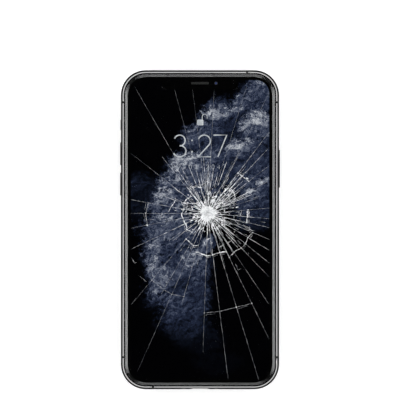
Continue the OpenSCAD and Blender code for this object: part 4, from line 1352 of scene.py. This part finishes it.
dress(solder_mask(), "logic_board", "port_board")
dress(amber_film(), "display_flex", "battery_flex")
dress(wound_copper(), "charging_coil")
dress(
    sheet_finish, "display_shield", "sensor_bracket", "processor_shield", "radio_shield",
    "connector_cover", "vibration_motor", "card_reader", "power_bracket", "volume_bracket",
    "power_dome", "volume_domes",
)
dress(
    barrel_finish, "earpiece_speaker", "front_camera", "infrared_camera", "dot_projector",
    "proximity_sensor", "coil_shield", "loudspeaker", "ring_switch_body",
)
dress(gilt_finish, "rear_microphone", "bottom_microphone", "board_connectors")
dress(screw_finish, "board_screws")
dress(matt_plastic("battery_pouch", 40, 1.5, 0.45), "battery")
dress(matt_plastic("white_tape", 226, 2.0, 0.5), "battery_strips")
dress(matt_plastic("led_phosphor", 200, 4.0, 0.4), "flash_led")


# ---------------------------------------------------------------- studio
# The phone lies on a pale floor under a tent of soft light. The tent is dim overhead, so the
# screen stays dark from above, and four low panels light it from the sides.
bpy.context.scene.view_settings.view_transform = "Standard"
floor_mesh = bpy.data.meshes.new("floor")
span = 3.0
floor_corners = [(x * span, y * span, 0) for x, y in ((-1, -1), (1, -1), (1, 1), (-1, 1))]
floor_mesh.from_pydata(floor_corners, [], [(0, 1, 2, 3)])
floor = new_object("floor", floor_mesh)
paper = Finish("pale_floor")
seen = paper.node("ShaderNodeLightPath", output="Is Camera Ray")
grain = paper.noise(0.4, 3.0)
sheet = paper.blend(grain.step(0.3, 0.7), (0.84, 0.84, 0.84, 1), (0.86, 0.86, 0.86, 1))
glow = paper.blend(seen, (0, 0, 0, 1), (0.4, 0.4, 0.4, 1))
floor_mesh.materials.append(
    paper.coat(Base_Color=sheet, Roughness=0.9, Emission_Color=glow, Emission_Strength=1.0)
)

sky = bpy.data.worlds.new("tent")
bpy.context.scene.world = sky
sky.use_nodes = True
sky_nodes, sky_links = sky.node_tree.nodes, sky.node_tree.links
sky_nodes.clear()
heading, height, shade, light, blank, rays, either, sky_out = [
    sky_nodes.new("ShaderNode" + kind)
    for kind in (
        "TexCoord", "SeparateXYZ", "ValToRGB", "Background", "Background", "LightPath",
        "MixShader", "OutputWorld",
    )
]
# Light near the horizon and nearly black overhead
stops = ((0.3, (0.4, 0.4, 0.4, 1)), (0.9, (0.006, 0.006, 0.0065, 1)))
for element, (position, colour) in zip(shade.color_ramp.elements, stops):
    element.position, element.color = position, colour
blank.inputs["Color"].default_value = (1, 1, 1, 1)
for start, end in (
    (heading.outputs["Generated"], height.inputs[0]), (height.outputs["Z"], shade.inputs[0]),
    (shade.outputs[0], light.inputs["Color"]), (rays.outputs["Is Camera Ray"], either.inputs[0]),
    (light.outputs[0], either.inputs[1]), (blank.outputs[0], either.inputs[2]),
    (either.outputs[0], sky_out.inputs["Surface"]),
):
    sky_links.new(start, end)


def panel(name, azimuth, elevation, watts, wide=1.17, high=1.05, away=1.1):
    lamp = bpy.data.lights.new(name, "AREA")
    lamp.shape = "RECTANGLE"
    lamp.size, lamp.size_y = wide, high
    lamp.energy = watts
    holder = new_object(name, lamp)
    a, e = math.radians(azimuth), math.radians(elevation)
    out = Vector((math.cos(a) * math.cos(e), math.sin(a) * math.cos(e), math.sin(e)))
    holder.visible_camera = False
    holder.location = out * away
    holder.rotation_euler = out.to_track_quat("Z", "Y").to_euler()


lamp_elevation = 34
for name, azimuth, watts in (
    ("panel_right", 0, 9.4), ("panel_top", 90, 6.0), ("panel_left", 180, 9.4),
    ("panel_bottom", 270, 3.8),
):
    panel(name, azimuth, lamp_elevation, watts)

# The camera looks straight down, from far enough off to see the sides almost level
camera_data = bpy.data.cameras.new("camera")
lens_mm, sensor_mm = 600, 36
view_width, view_centre_y = 180.35 * mm, 13.42 * mm
camera_data.lens, camera_data.sensor_width = lens_mm, sensor_mm
camera_data.clip_start, camera_data.clip_end = 0.05, 10
camera = new_object("camera", camera_data)
above = z_front * mm + view_width / 2 / (sensor_mm / 2 / lens_mm)
camera.location = (0, view_centre_y, above)
bpy.context.scene.camera = camera
